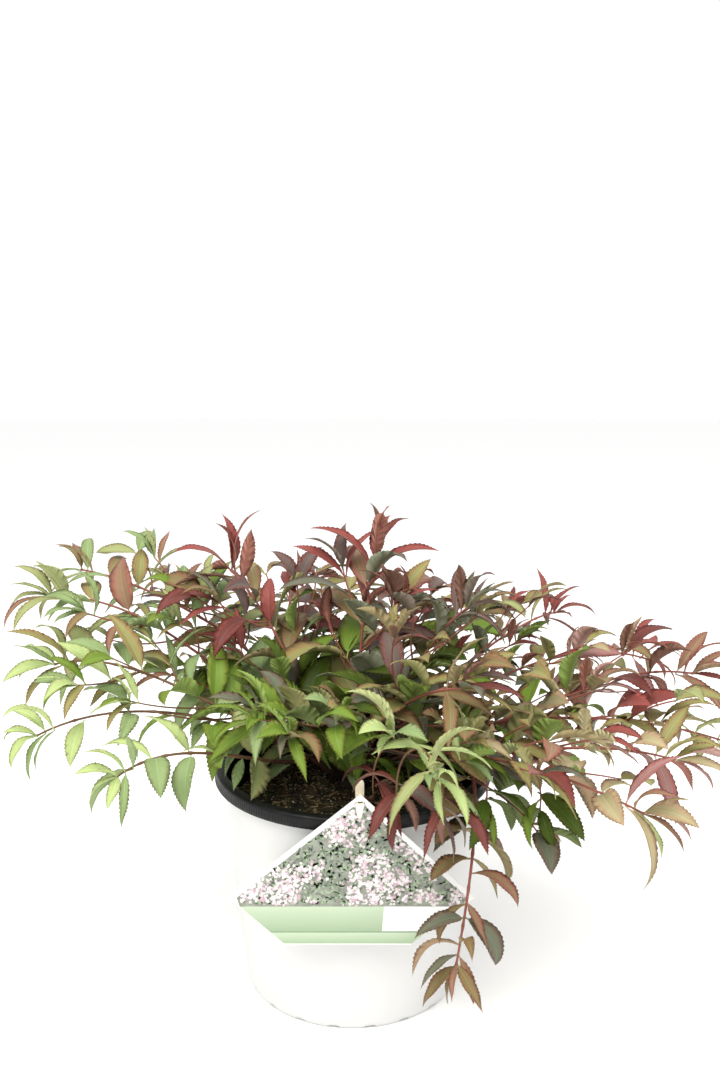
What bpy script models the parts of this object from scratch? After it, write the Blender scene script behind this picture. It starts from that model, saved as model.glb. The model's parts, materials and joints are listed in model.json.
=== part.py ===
"""A low, spreading deutzia in its round nursery pot, with a plant label pegged in front.

The origin is the centre of the pot's flat underside. +Z is up, +X is to the right and -Y is
towards the viewer. Lengths are in metres; azimuths are in degrees from +X towards +Y.
"""

import math
import random
from collections import namedtuple

import bmesh
import bpy
from mathutils import Vector
from mathutils.bvhtree import BVHTree

GAP = 0.0003

# Pot: a white outer shell and a black liner, which rolls over the shell's edge as the rim
POT_HEIGHT = 0.141
BASE_RADIUS = 0.069
WALL_SLOPE = 0.1
SHELL_WALL = 0.0010
LINER_WALL = 0.0009
SHELL_TOP = 0.1335
RIM_RADIUS = 0.0876
RIM_SKIRT = 0.0078
RIM_THICKNESS = 0.0012
FLOOR_TOP = 0.0042
FLOOR_RISE = 0.0030
PAD_RADIUS = 0.024
FOOT_INNER = 0.061
POT_STEPS = 40
NOTCHES = 20
NOTCH_WIDTH = 0.0075
NOTCH_HEIGHT = 0.0014
DRAINS = 5
DRAIN_RADIUS = 0.0035
DRAIN_CIRCLE = 0.045

# Soil
SOIL_TOP = 0.121
SOIL_SHOULDER = 0.010
SOIL_STEPS = 36

# Label card and its peg, in front of the rim; LABEL_LEAN is how far the card's middle line runs to
# the right for each metre up
LABEL_BACK = -0.0879
LABEL_THICKNESS = 0.0008
LABEL_APEX = 0.1560
LABEL_WAIST = 0.0950
LABEL_FOOT = 0.0665
LABEL_HALF_WIDTH = 0.069
LABEL_FOOT_HALF = 0.0355
LABEL_LEAN = 0.08
SLOT_HEIGHT = 0.1505
PEG_X = LABEL_LEAN * (SLOT_HEIGHT - LABEL_WAIST)
PEG_WIDTH = 0.0050
PEG_THICKNESS = 0.0013
PEG_STAKE = -0.0748
PEG_TOP = 0.1590
PEG_BOTTOM = 0.0950
TAB_TIP = 0.1430
TAB_TIP_WIDTH = 0.0026

# Root crown: the woody foot that the stems rise from
CROWN = Vector((-0.003, 0.010, SOIL_TOP + GAP))
CROWN_RADIUS = 0.0125
CROWN_HEIGHT = 0.0110

# Limbs
LIMB_SIDES = 5
LIMB_POINTS = 7
LIMB_RADIUS = 0.0017
BRANCH_RADIUS = 0.0014
LIMB_TIP_RADIUS = 0.0011
LIMB_SHARE = 0.25

# Leaf masses
STEM_RADIUS = 0.0015
STEM_TIP_RADIUS = 0.0009
STEM_STEP = 0.027
STEM_LEAD = 0.004
TWIG_RADIUS = 0.0012
TWIG_TIP_RADIUS = 0.0008
NODE_SPACING = 0.0255
FIRST_NODE = 0.0080
LEAF_LENGTH = 0.047
LEAF_WIDTH = 0.0180
LEAF_THICKNESS = 0.0010
LEAF_WAIST = 0.42
LEAF_FOLD = 0.16
TWIG_LENGTH = 0.052
SPACE_RADIUS = 0.075
CLEARANCE = 0.0006
ROOT_SHARE = 0.16

# Each shoot: the limb it forks from and how far along, its tip's azimuth and its arch's swing from
# it, how far it reaches from the pot's axis, the height its arch is drawn up to, the height of its
# tip, its leaves' colour and the number of its side twigs
Shoot = namedtuple("Shoot", "name parent fork azimuth swing reach arch tip tone twigs")
SHOOTS = (
    Shoot("left_high", None, 0, 171, -6, 0.200, 0.246, 0.240, "mixed", 3),
    Shoot("left_back", "left_high", 0.62, 158, 5, 0.205, 0.250, 0.250, "red", 2),
    Shoot("left_mid", "left_high", 0.55, 182, 3, 0.186, 0.222, 0.206, "green", 3),
    Shoot("left_low", None, 0, 194, -3, 0.192, 0.200, 0.174, "lime", 0),
    Shoot("left_front", "left_low", 0.45, 216, -8, 0.158, 0.182, 0.168, "lime", 0),
    Shoot("left_rear", None, 0, 142, 6, 0.176, 0.244, 0.240, "green", 3),
    Shoot("centre_left", None, 0, 152, -10, 0.092, 0.226, 0.256, "red", 3),
    Shoot("centre_front", "centre_left", 0.5, 230, 10, 0.084, 0.184, 0.190, "green", 3),
    Shoot("centre_top", None, 0, 66, 20, 0.038, 0.230, 0.270, "red", 3),
    Shoot("centre_back", "centre_top", 0.5, 66, -12, 0.098, 0.232, 0.240, "red", 3),
    Shoot("centre_right", None, 0, 2, 12, 0.072, 0.222, 0.240, "dusk", 3),
    Shoot("rear_right", None, 0, 34, -6, 0.176, 0.220, 0.214, "red", 3),
    Shoot("rear_far", "rear_right", 0.5, 54, 5, 0.190, 0.214, 0.200, "green", 3),
    Shoot("right_back", None, 0, 13, 6, 0.205, 0.216, 0.194, "red", 2),
    Shoot("right_high", "right_back", 0.6, 1, 3, 0.216, 0.206, 0.197, "red", 2),
    Shoot("right_mid", None, 0, 350, 0, 0.232, 0.190, 0.166, "olive", 3),
    Shoot("right_front", "right_mid", 0.5, 338, -5, 0.196, 0.186, 0.170, "olive", 2),
    Shoot("right_low", None, 0, 325, -6, 0.190, 0.178, 0.154, "olive", 2),
    Shoot("drooping", "right_low", 0.75, 294, 44, 0.136, 0.176, 0.076, "dusk", 1),
    Shoot("front_right", None, 0, 290, 8, 0.130, 0.196, 0.178, "lime", 2),
    Shoot("front_inner", "front_right", 0.45, 312, -10, 0.092, 0.206, 0.210, "dusk", 3),
    Shoot("back_left", "left_rear", 0.5, 120, -5, 0.190, 0.226, 0.216, "dusk", 2),
    Shoot("back_mid", None, 0, 98, 6, 0.196, 0.222, 0.210, "green", 2),
    Shoot("back_right", "back_mid", 0.5, 76, -6, 0.192, 0.210, 0.196, "red", 3),
    Shoot("back_high", "centre_top", 0.8, 116, 8, 0.108, 0.228, 0.226, "dusk", 3),
)

BARK = (0.20, 0.085, 0.05)
TONES = {
    "red": (0.22, 0.055, 0.06),
    "mixed": (0.20, 0.14, 0.08),
    "green": (0.10, 0.22, 0.06),
    "lime": (0.33, 0.48, 0.13),
    "dusk": (0.13, 0.12, 0.10),
    "olive": (0.28, 0.19, 0.10),
}


def clear_scene():
    for obj in list(bpy.data.objects):
        bpy.data.objects.remove(obj, do_unlink=True)


def collection(name):
    made = bpy.data.collections.new(name)
    bpy.context.scene.collection.children.link(made)
    return made


def material(name, colour, roughness):
    made = bpy.data.materials.new(name)
    made.use_nodes = True
    shader = made.node_tree.nodes["Principled BSDF"]
    shader.inputs["Base Color"].default_value = (*colour, 1.0)
    shader.inputs["Roughness"].default_value = roughness
    shader.inputs["Metallic"].default_value = 0.0
    made.diffuse_color = (*colour, 1.0)
    return made


def link(name, data, into, surface=None):
    obj = bpy.data.objects.new(name, data)
    into.objects.link(obj)
    if surface is not None:
        data.materials.append(surface)
    return obj


def helper(name, data, into):
    """An object that shapes others and isn't itself part of the plant."""
    obj = link(name, data, into)
    obj.hide_render = True
    obj.display_type = "WIRE"
    return obj


def evaluated_mesh(obj):
    bpy.context.view_layer.update()
    graph = bpy.context.evaluated_depsgraph_get()
    mesh = bpy.data.meshes.new_from_object(obj.evaluated_get(graph))
    mesh.transform(obj.matrix_world)
    return mesh


def settle(obj):
    """Applies an object's modifiers, so that its mesh is final."""
    surface = obj.data.materials[0]
    mesh = evaluated_mesh(obj)
    obj.modifiers.clear()
    obj.data = mesh
    mesh.materials.clear()
    mesh.materials.append(surface)
    for polygon in mesh.polygons:
        polygon.material_index = 0


def smooth(obj, degrees=40):
    obj.data.shade_smooth()
    obj.data.set_sharp_from_angle(angle=math.radians(degrees))


def turned(name, profile, steps, into, surface):
    """A solid of revolution. The profile is (radius, height) pairs, run down its outer side."""
    mesh = bpy.data.meshes.new(name)
    points = [(radius, 0.0, height) for radius, height in profile]
    mesh.from_pydata(points, [(i, i + 1) for i in range(len(points) - 1)], [])
    obj = link(name, mesh, into, surface)
    screw = obj.modifiers.new("turn", "SCREW")
    screw.axis = "Z"
    screw.steps = steps
    screw.render_steps = steps
    screw.use_merge_vertices = True
    screw.merge_threshold = 0.0001
    return obj


def cut(obj, cutters):
    boolean = obj.modifiers.new("cut", "BOOLEAN")
    boolean.operation = "DIFFERENCE"
    boolean.operand_type = "COLLECTION"
    boolean.collection = cutters
    boolean.solver = "EXACT"


def box(name, low, high, into):
    """A cutter or blank between two corners."""
    mesh = bpy.data.meshes.new(name)
    shape = bmesh.new()
    bmesh.ops.create_cube(shape, size=1.0)
    low, high = Vector(low), Vector(high)
    middle = (low + high) / 2
    for vertex in shape.verts:
        vertex.co = Vector(c * (b - a) for c, a, b in zip(vertex.co, low, high)) + middle
    shape.to_mesh(mesh)
    shape.free()
    return helper(name, mesh, into)


def outer_radius(height):
    return BASE_RADIUS + WALL_SLOPE * height


def liner_outer(height):
    return outer_radius(height) - SHELL_WALL - GAP


def liner_inner(height):
    return liner_outer(height) - LINER_WALL


def build_shell(parts, white):
    """The white outer wall, with its floor, flat pad, raised drain ring and notched foot."""
    under_rim = SHELL_TOP
    inner_foot = outer_radius(FLOOR_TOP) - SHELL_WALL
    profile = (
        (0.0, FLOOR_TOP),
        (inner_foot, FLOOR_TOP),
        (outer_radius(under_rim) - SHELL_WALL, under_rim),
        (outer_radius(under_rim), under_rim),
        (outer_radius(0.002), 0.002),
        (BASE_RADIUS - 0.0008, 0.0),
        (FOOT_INNER, 0.0),
        (FOOT_INNER - 0.002, FLOOR_RISE),
        (PAD_RADIUS + 0.002, FLOOR_RISE),
        (PAD_RADIUS, 0.0),
        (0.0, 0.0),
    )
    shell = turned("pot_shell", profile, POT_STEPS, parts, white)
    smooth(shell)
    notches = collection("foot_notches")
    for k in range(NOTCHES):
        notch = box(
            f"notch_{k}",
            (BASE_RADIUS - 0.005, -NOTCH_WIDTH / 2, -0.002),
            (BASE_RADIUS + 0.005, NOTCH_WIDTH / 2, NOTCH_HEIGHT),
            notches,
        )
        notch.rotation_euler.z = math.tau * (k + 0.5) / NOTCHES
    cut(shell, notches)
    return shell


def build_liner(parts, black):
    """The black inner wall and floor, rolled over at the top into the rim and its skirt."""
    floor = FLOOR_TOP + GAP
    top = POT_HEIGHT
    tuck = SHELL_TOP + GAP
    skirt_foot = POT_HEIGHT - RIM_SKIRT
    inside = liner_inner(top)
    profile = (
        (0.0, floor + LINER_WALL),
        (liner_inner(floor + LINER_WALL) - 0.001, floor + LINER_WALL),
        (liner_inner(floor + 0.004), floor + 0.004),
        (liner_inner(tuck - 0.002), tuck - 0.002),
        (inside - 0.0002, top - 0.0020),
        (inside + 0.0008, top - 0.0004),
        (inside + 0.0022, top),
        (RIM_RADIUS - 0.0018, top - 0.0002),
        (RIM_RADIUS - 0.0005, top - 0.0012),
        (RIM_RADIUS, top - 0.0026),
        (RIM_RADIUS, skirt_foot),
        (RIM_RADIUS - RIM_THICKNESS, skirt_foot),
        (RIM_RADIUS - RIM_THICKNESS, tuck),
        (liner_outer(tuck), tuck),
        (liner_outer(floor + 0.0015), floor + 0.0015),
        (liner_outer(floor) - 0.001, floor),
        (0.0, floor),
    )
    liner = turned("pot_liner_rim", profile, POT_STEPS, parts, black)
    smooth(liner)
    return liner


def drill_drains(pieces):
    """Round drain holes through the raised ring of the floor."""
    drains = collection("drain_cutters")
    for k in range(DRAINS):
        angle = math.tau * k / DRAINS
        mesh = bpy.data.meshes.new(f"drain_{k}")
        shape = bmesh.new()
        bmesh.ops.create_cone(
            shape,
            cap_ends=True,
            segments=10,
            radius1=DRAIN_RADIUS,
            radius2=DRAIN_RADIUS,
            depth=0.012,
        )
        shape.to_mesh(mesh)
        shape.free()
        drain = helper(f"drain_{k}", mesh, drains)
        drain.location = (
            DRAIN_CIRCLE * math.cos(angle),
            DRAIN_CIRCLE * math.sin(angle),
            FLOOR_RISE,
        )
    for piece in pieces:
        cut(piece, drains)


def build_soil(parts, brown):
    """The root ball: it fills the liner, and its top is flat with a rounded shoulder."""
    bottom = FLOOR_TOP + GAP + LINER_WALL + GAP
    edge = SOIL_TOP - SOIL_SHOULDER
    profile = (
        (0.0, SOIL_TOP),
        (liner_inner(SOIL_TOP) - 0.012, SOIL_TOP),
        (liner_inner(SOIL_TOP) - 0.005, SOIL_TOP - 0.002),
        (liner_inner(edge) - GAP, edge),
        (liner_inner(bottom + 0.005) - GAP, bottom + 0.005),
        (liner_inner(bottom) - 0.003, bottom),
        (0.0, bottom),
    )
    soil = turned("soil", profile, SOIL_STEPS, parts, brown)
    smooth(soil, 60)
    pockets = collection("peg_pocket")
    box(
        "pocket",
        (PEG_X - PEG_WIDTH / 2 - GAP, PEG_STAKE - PEG_THICKNESS / 2 - GAP, PEG_BOTTOM - GAP),
        (PEG_X + PEG_WIDTH / 2 + GAP, PEG_STAKE + PEG_THICKNESS / 2 + GAP, SOIL_TOP + 0.01),
        pockets,
    )
    cut(soil, pockets)
    return soil


def flat_outline(name, outlines, thickness, into, surface=None):
    """A flat plate in the XZ plane: the first outline is its edge and any others are holes."""
    curve = bpy.data.curves.new(name, "CURVE")
    curve.dimensions = "2D"
    curve.fill_mode = "BOTH"
    curve.extrude = thickness / 2
    for outline in outlines:
        spline = curve.splines.new("POLY")
        spline.points.add(len(outline) - 1)
        spline.use_cyclic_u = True
        for point, (x, z) in zip(spline.points, outline):
            point.co = (x, z, 0.0, 1.0)
    obj = link(name, curve, into, surface)
    obj.rotation_euler.x = math.pi / 2
    return obj


def as_closed_mesh(obj, into, surface=None):
    """Replaces a curve object by its mesh in world space, with the loose caps welded on."""
    name = obj.name
    mesh = evaluated_mesh(obj)
    bpy.data.objects.remove(obj, do_unlink=True)
    shape = bmesh.new()
    shape.from_mesh(mesh)
    bmesh.ops.remove_doubles(shape, verts=shape.verts, dist=0.000002)
    bmesh.ops.recalc_face_normals(shape, faces=shape.faces)
    shape.to_mesh(mesh)
    shape.free()
    mesh.materials.clear()
    mesh.name = name
    return link(name, mesh, into, surface)


def build_label(parts, card):
    """The five-sided card, whose middle line leans to one side on its way up to the slot."""
    upright = (
        (0.0, LABEL_APEX),
        (-LABEL_HALF_WIDTH, LABEL_WAIST),
        (-LABEL_FOOT_HALF, LABEL_FOOT),
        (LABEL_FOOT_HALF, LABEL_FOOT),
        (LABEL_HALF_WIDTH, LABEL_WAIST),
    )
    edge = [(x + LABEL_LEAN * (z - LABEL_WAIST), z) for x, z in upright]
    half_slot = PEG_WIDTH / 2 + GAP
    half_rise = PEG_THICKNESS / 2 + GAP
    slot = (
        (PEG_X - half_slot, SLOT_HEIGHT - half_rise),
        (PEG_X + half_slot, SLOT_HEIGHT - half_rise),
        (PEG_X + half_slot, SLOT_HEIGHT + half_rise),
        (PEG_X - half_slot, SLOT_HEIGHT + half_rise),
    )
    plate = flat_outline("label_card", (edge, slot), LABEL_THICKNESS, parts)
    plate.location.y = LABEL_BACK - LABEL_THICKNESS / 2
    return as_closed_mesh(plate, parts, card)


def build_peg(parts, cream):
    """A flat stake in the soil; its arm crosses the rim and the card's slot to a tapered tab."""
    half = PEG_WIDTH / 2
    rounding = [math.pi * k / 6 for k in range(7)]
    stake = [(half * math.cos(a), PEG_TOP - half + half * math.sin(a)) for a in rounding]
    stake += [(-half, PEG_BOTTOM + half), (0.0, PEG_BOTTOM), (half, PEG_BOTTOM + half)]
    tab_y = LABEL_BACK - LABEL_THICKNESS - GAP - PEG_THICKNESS / 2
    tab_top = SLOT_HEIGHT + PEG_THICKNESS / 2
    tip = TAB_TIP_WIDTH / 2
    tab = (
        (half, tab_top),
        (-half, tab_top),
        (-tip, TAB_TIP + tip),
        (-tip / 2, TAB_TIP),
        (tip / 2, TAB_TIP),
        (tip, TAB_TIP + tip),
    )
    pieces = collection("peg_pieces")
    front = flat_outline("peg_tab", (tab,), PEG_THICKNESS, pieces)
    front.location = (PEG_X, tab_y, 0.0)
    as_closed_mesh(front, pieces)
    box(
        "peg_arm",
        (PEG_X - half * 0.9, tab_y, SLOT_HEIGHT - PEG_THICKNESS / 2),
        (PEG_X + half * 0.9, PEG_STAKE, SLOT_HEIGHT + PEG_THICKNESS * 0.4),
        pieces,
    )
    plate = flat_outline("label_peg", (stake,), PEG_THICKNESS, parts)
    plate.location = (PEG_X, PEG_STAKE, 0.0)
    peg = as_closed_mesh(plate, parts, cream)
    fuse(peg, pieces)
    return peg


def fuse(obj, pieces):
    """Joins a collection's objects to obj in one union and removes them."""
    boolean = obj.modifiers.new("fuse", "BOOLEAN")
    boolean.operation = "UNION"
    boolean.operand_type = "COLLECTION"
    boolean.collection = pieces
    boolean.solver = "EXACT"
    settle(obj)
    for piece in list(pieces.objects):
        bpy.data.objects.remove(piece, do_unlink=True)
    bpy.data.collections.remove(pieces)
    keep_main_body(obj.data)


def signed_volume(faces):
    total = 0.0
    for face in faces:
        a, b, c = (v.co for v in face.verts)
        total += a.dot(b.cross(c))
    return total / 6


def keep_main_body(mesh):
    """Keeps the largest closed surface: it drops loose scraps and fills sealed hollows."""
    shape = bmesh.new()
    shape.from_mesh(mesh)
    bmesh.ops.triangulate(shape, faces=shape.faces)
    left = set(shape.faces)
    islands = []
    while left:
        queue = [left.pop()]
        island = list(queue)
        while queue:
            for edge in queue.pop().edges:
                for face in edge.link_faces:
                    if face in left:
                        left.remove(face)
                        island.append(face)
                        queue.append(face)
        islands.append(island)
    islands.sort(key=signed_volume, reverse=True)
    spare = [face for island in islands[1:] for face in island]
    bmesh.ops.delete(shape, geom=spare, context="FACES")
    shape.to_mesh(mesh)
    shape.free()


def polar(azimuth, radius, height):
    angle = math.radians(azimuth)
    return Vector((radius * math.cos(angle), radius * math.sin(angle), height))


def bezier(a, b, c, d, count):
    """Points evenly spread in parameter along a cubic."""
    points = []
    for i in range(count):
        t = i / (count - 1)
        s = 1 - t
        points.append(a * s**3 + b * 3 * s * s * t + c * 3 * s * t * t + d * t**3)
    return points


class Route:
    """A polyline that is read by the length along it."""

    def __init__(self, points):
        self.points = points
        self.marks = [0.0]
        for a, b in zip(points, points[1:]):
            self.marks.append(self.marks[-1] + (b - a).length)
        self.length = self.marks[-1]

    def step(self, distance):
        last = len(self.points) - 2
        for i in range(last + 1):
            if distance <= self.marks[i + 1] or i == last:
                return i

    def at(self, distance):
        i = self.step(distance)
        span = self.marks[i + 1] - self.marks[i]
        share = (distance - self.marks[i]) / span
        return self.points[i].lerp(self.points[i + 1], share)

    def along(self, distance):
        i = self.step(distance)
        return (self.points[i + 1] - self.points[i]).normalized()

    def part(self, start, end, count):
        return Route([self.at(start + (end - start) * i / (count - 1)) for i in range(count)])


def crown_start(shoot):
    """Where a stem leaves the root crown, and its first direction."""
    elevation = math.radians(72 - 34 * min(shoot.reach / 0.18, 1))
    flat = polar(shoot.azimuth, math.cos(elevation), math.sin(elevation))
    point = Vector((flat.x * CROWN_RADIUS, flat.y * CROWN_RADIUS, flat.z * CROWN_HEIGHT))
    normal = Vector(
        (
            point.x / CROWN_RADIUS**2,
            point.y / CROWN_RADIUS**2,
            point.z / CROWN_HEIGHT**2,
        )
    ).normalized()
    return CROWN + point + normal * GAP, normal


def fork_start(shoot, parent, arch):
    """Where a branch leaves its parent limb, just clear of the bark, and its first direction."""
    where = parent.route.length * LIMB_SHARE * shoot.fork
    axis = parent.route.along(where)
    centre = parent.route.at(where)
    outward = arch - centre
    outward = (outward - axis * outward.dot(axis)).normalized()
    parent_radius = parent.radius + (LIMB_TIP_RADIUS - parent.radius) * shoot.fork
    direction = (outward * 0.8 + axis * 0.6).normalized()
    lean = math.sqrt(1 - direction.dot(outward) ** 2)
    return centre + outward * (parent_radius + GAP + BRANCH_RADIUS * lean), direction


def stem_route(route, cut_at):
    """The stem of a leaf mass, which carries on from its bough with a short straight lead."""
    count = max(5, round((route.length - cut_at) / STEM_STEP))
    start, *rest = route.part(cut_at + GAP, route.length, count).points
    return Route([start, route.at(cut_at + STEM_LEAD), *rest])


Limb = namedtuple("Limb", "route radius")


def shoot_limbs():
    """The full route of every shoot, from its foot to its tip."""
    limbs = {}
    for shoot in SHOOTS:
        arch = polar(shoot.azimuth + shoot.swing, shoot.reach * 0.70, shoot.arch)
        tip = polar(shoot.azimuth, shoot.reach, shoot.tip)
        if shoot.parent is None:
            start, direction = crown_start(shoot)
            radius = LIMB_RADIUS
        else:
            start, direction = fork_start(shoot, limbs[shoot.parent], arch)
            radius = BRANCH_RADIUS
        lead = (tip - start).length * 0.30
        points = bezier(start, start + direction * lead, arch, tip, 40)
        limbs[shoot.name] = Limb(Route(points), radius)
    return limbs


def section(name, sides, into):
    """The unit outline that gives a limb or twig its flat sides."""
    curve = bpy.data.curves.new(name, "CURVE")
    curve.dimensions = "2D"
    spline = curve.splines.new("POLY")
    spline.points.add(sides - 1)
    spline.use_cyclic_u = True
    for k, point in enumerate(spline.points):
        angle = math.tau * k / sides
        point.co = (math.cos(angle), math.sin(angle), 0.0, 1.0)
    return helper(name, curve, into)


def tube(name, route, start_radius, end_radius, outline, into, surface=None):
    """A tapering limb or twig along a route."""
    curve = bpy.data.curves.new(name, "CURVE")
    curve.dimensions = "3D"
    curve.bevel_mode = "OBJECT"
    curve.bevel_object = outline
    curve.use_fill_caps = True
    curve.twist_mode = "MINIMUM"
    spline = curve.splines.new("POLY")
    spline.points.add(len(route.points) - 1)
    for point, place, mark in zip(spline.points, route.points, route.marks):
        share = mark / route.length
        point.co = (*place, 1.0)
        point.radius = start_radius + (end_radius - start_radius) * share
    return as_closed_mesh(link(name, curve, into), into, surface)


def leaf_corners(root, along, up, length, width, thickness):
    """Root upper and lower, left, right, keel and tip of a folded leaf."""
    side = up.cross(along)
    upper = root + up * thickness / 2
    lower = root - up * thickness / 2
    tip = root + along * length
    middle = upper.lerp(tip, LEAF_WAIST)
    left = middle + side * width / 2 + up * width * LEAF_FOLD
    right = middle - side * width / 2 + up * width * LEAF_FOLD
    keel = middle - up * thickness
    return [upper, lower, left, right, keel, tip]


LEAF_FACES = (
    (0, 5, 2),
    (0, 3, 5),
    (1, 2, 4),
    (4, 2, 5),
    (1, 4, 3),
    (4, 5, 3),
    (0, 2, 1),
    (0, 1, 3),
)

Leaf = namedtuple("Leaf", "root along up length width")


class Space:
    """What already stands in the crown, as small trees of faces with their owners."""

    def __init__(self):
        self.items = []

    def add(self, owner, corners, faces):
        centre = sum(corners, Vector()) / len(corners)
        radius = max((corner - centre).length for corner in corners)
        self.items.append((owner, centre, radius, BVHTree.FromPolygons(corners, faces)))

    def add_object(self, owner, obj):
        mesh = evaluated_mesh(obj)
        faces = [tuple(polygon.vertices) for polygon in mesh.polygons]
        self.add(owner, [vertex.co.copy() for vertex in mesh.vertices], faces)
        bpy.data.meshes.remove(mesh)

    def hits(self, corners, mine, own):
        """Whether a leaf's blank touches anything of others (own False) or of its own mass."""
        centre = sum(corners, Vector()) / len(corners)
        radius = max((corner - centre).length for corner in corners)
        probe = BVHTree.FromPolygons(corners, LEAF_FACES)
        for owner, middle, reach, tree in self.items:
            if (owner == mine) is not own:
                continue
            if (middle - centre).length > reach + radius:
                continue
            if probe.overlap(tree):
                return True
        return False


def leaf_fits(leaf, owner, stem, space):
    """A leaf is kept if it stays in its mass's space and clear of everything else."""
    tip = leaf.root + leaf.along * leaf.length
    if min((tip - point).length for point in stem.points) > SPACE_RADIUS:
        return False
    grown = 2 * CLEARANCE
    whole = leaf_corners(
        leaf.root,
        leaf.along,
        leaf.up,
        leaf.length + grown,
        leaf.width + grown,
        LEAF_THICKNESS + grown,
    )
    if space.hits(whole, owner, False):
        return False
    blade = leaf_corners(
        leaf.root + leaf.along * leaf.length * ROOT_SHARE,
        leaf.along,
        leaf.up,
        leaf.length * (1 - ROOT_SHARE) + grown,
        leaf.width + grown,
        LEAF_THICKNESS + grown,
    )
    return not space.hits(blade, owner, True)


def leaf_pose(rng, axis, side, turn, spread, droop):
    """Direction and face of one leaf of a pair, on a stem that runs along axis."""
    up = Vector((0, 0, 1))
    across = axis.cross(up)
    if across.length < 0.2:
        across = Vector((1, 0, 0))
    across.normalize()
    over = across.cross(axis).normalized()
    angle = math.radians(turn + rng.uniform(-14, 14))
    out = across * math.cos(angle) * side + over * math.sin(angle) * side
    lean = math.radians(spread + rng.uniform(-10, 10))
    along = axis * math.cos(lean) + out * math.sin(lean)
    along = (along - up * (droop + rng.uniform(-0.10, 0.10))).normalized()
    face = up - along * up.dot(along)
    if face.length < 0.15:
        face = axis - along * axis.dot(along)
    face.normalize()
    roll = math.radians(rng.uniform(-28, 28))
    face = (face * math.cos(roll) + along.cross(face) * math.sin(roll)).normalized()
    return along, face


def leaf_pairs(rng, route, first, owner, stem, space, scale):
    """Opposite pairs along a route, each turned from the last, and a closing pair at its tip."""
    kept = []
    count = max(1, round((route.length - first) / NODE_SPACING))
    for k in range(count + 1):
        where = first + (route.length - first - 0.001) * k / count
        share = where / route.length
        at_tip = k == count
        turn = 8 if k % 2 else 44
        spread = 34 if at_tip else 62
        size = scale * (1.0 - 0.28 * share) * rng.uniform(0.86, 1.14)
        for side in (-1, 1):
            along, face = leaf_pose(rng, route.along(where), side, turn, spread, 0.08)
            root = route.at(where + side * 0.0004)
            length = LEAF_LENGTH * size
            width = LEAF_WIDTH * size * rng.uniform(0.85, 1.15)
            leaf = Leaf(root, along, face, length, width)
            if leaf_fits(leaf, owner, stem, space):
                kept.append(leaf)
                corners = leaf_corners(root, along, face, length, width, LEAF_THICKNESS)
                space.add(owner, corners, LEAF_FACES)
    return kept


def twig_route(rng, stem, where, side):
    """A side twig that leaves the stem in a leaf's axil and bends back towards its line."""
    axis = stem.along(where)
    along, _ = leaf_pose(rng, axis, side, rng.uniform(0, 50), 48, -0.10)
    length = TWIG_LENGTH * rng.uniform(0.75, 1.15) * (1.1 - 0.5 * where / stem.length)
    root = stem.at(where)
    bend = root + along * length * 0.5
    end = bend + (along + axis * 0.6).normalized() * length * 0.5
    return Route([root.lerp(bend, 0.0), bend, end])


def grow_mass(shoot, seed, stem, space):
    """The twigs and leaves of one mass, by a seeded rule from its stem."""
    rng = random.Random(seed)
    twigs = []
    for k in range(shoot.twigs):
        where = stem.length * (0.16 + 0.62 * k / shoot.twigs)
        for side in (1, -1) if k % 2 else (-1, 1):
            twig = twig_route(rng, stem, where, side)
            along = (twig.points[-1] - twig.points[0]).normalized()
            face = along.orthogonal()
            probe = Leaf(twig.points[0], along, face, twig.length, 0.005)
            if leaf_fits(probe, shoot.name, stem, space):
                twigs.append(twig)
                corners = leaf_corners(twig.points[0], along, face, twig.length, 0.003, 0.003)
                space.add(shoot.name, corners, LEAF_FACES)
                break
    leaves = leaf_pairs(rng, stem, FIRST_NODE, shoot.name, stem, space, 1.0)
    for twig in twigs:
        leaves += leaf_pairs(rng, twig, 0.018, shoot.name, stem, space, 0.88)
    return twigs, leaves


def build_mass(shoot, stem, twigs, leaves, outline, parts, surface):
    name = f"leaves_{shoot.name}"
    pieces = collection(f"{name}_pieces")
    for k, twig in enumerate(twigs):
        tube(f"{name}_twig_{k}", twig, TWIG_RADIUS, TWIG_TIP_RADIUS, outline, pieces)
    for k, leaf in enumerate(leaves):
        mesh = bpy.data.meshes.new(f"{name}_leaf_{k}")
        corners = leaf_corners(*leaf, LEAF_THICKNESS)
        mesh.from_pydata(corners, [], LEAF_FACES)
        link(mesh.name, mesh, pieces)
    mass = tube(name, stem, STEM_RADIUS, STEM_TIP_RADIUS, outline, parts, surface)
    fuse(mass, pieces)
    return mass


def build_crown(parts, bark):
    """The root crown: a low woody dome cut flat at the soil."""
    mesh = bpy.data.meshes.new("root_crown")
    shape = bmesh.new()
    bmesh.ops.create_uvsphere(shape, u_segments=14, v_segments=10, radius=1.0)
    whole = shape.verts[:] + shape.edges[:] + shape.faces[:]
    below = bmesh.ops.bisect_plane(
        shape, geom=whole, plane_co=(0, 0, 0), plane_no=(0, 0, -1), clear_outer=True
    )
    rim = [item for item in below["geom_cut"] if isinstance(item, bmesh.types.BMEdge)]
    bmesh.ops.contextual_create(shape, geom=rim)
    for vertex in shape.verts:
        vertex.co.x *= CROWN_RADIUS
        vertex.co.y *= CROWN_RADIUS
        vertex.co.z *= CROWN_HEIGHT
    bmesh.ops.recalc_face_normals(shape, faces=shape.faces)
    shape.to_mesh(mesh)
    shape.free()
    crown = link("root_crown", mesh, parts, bark)
    crown.location = CROWN
    smooth(crown)
    return crown


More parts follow.
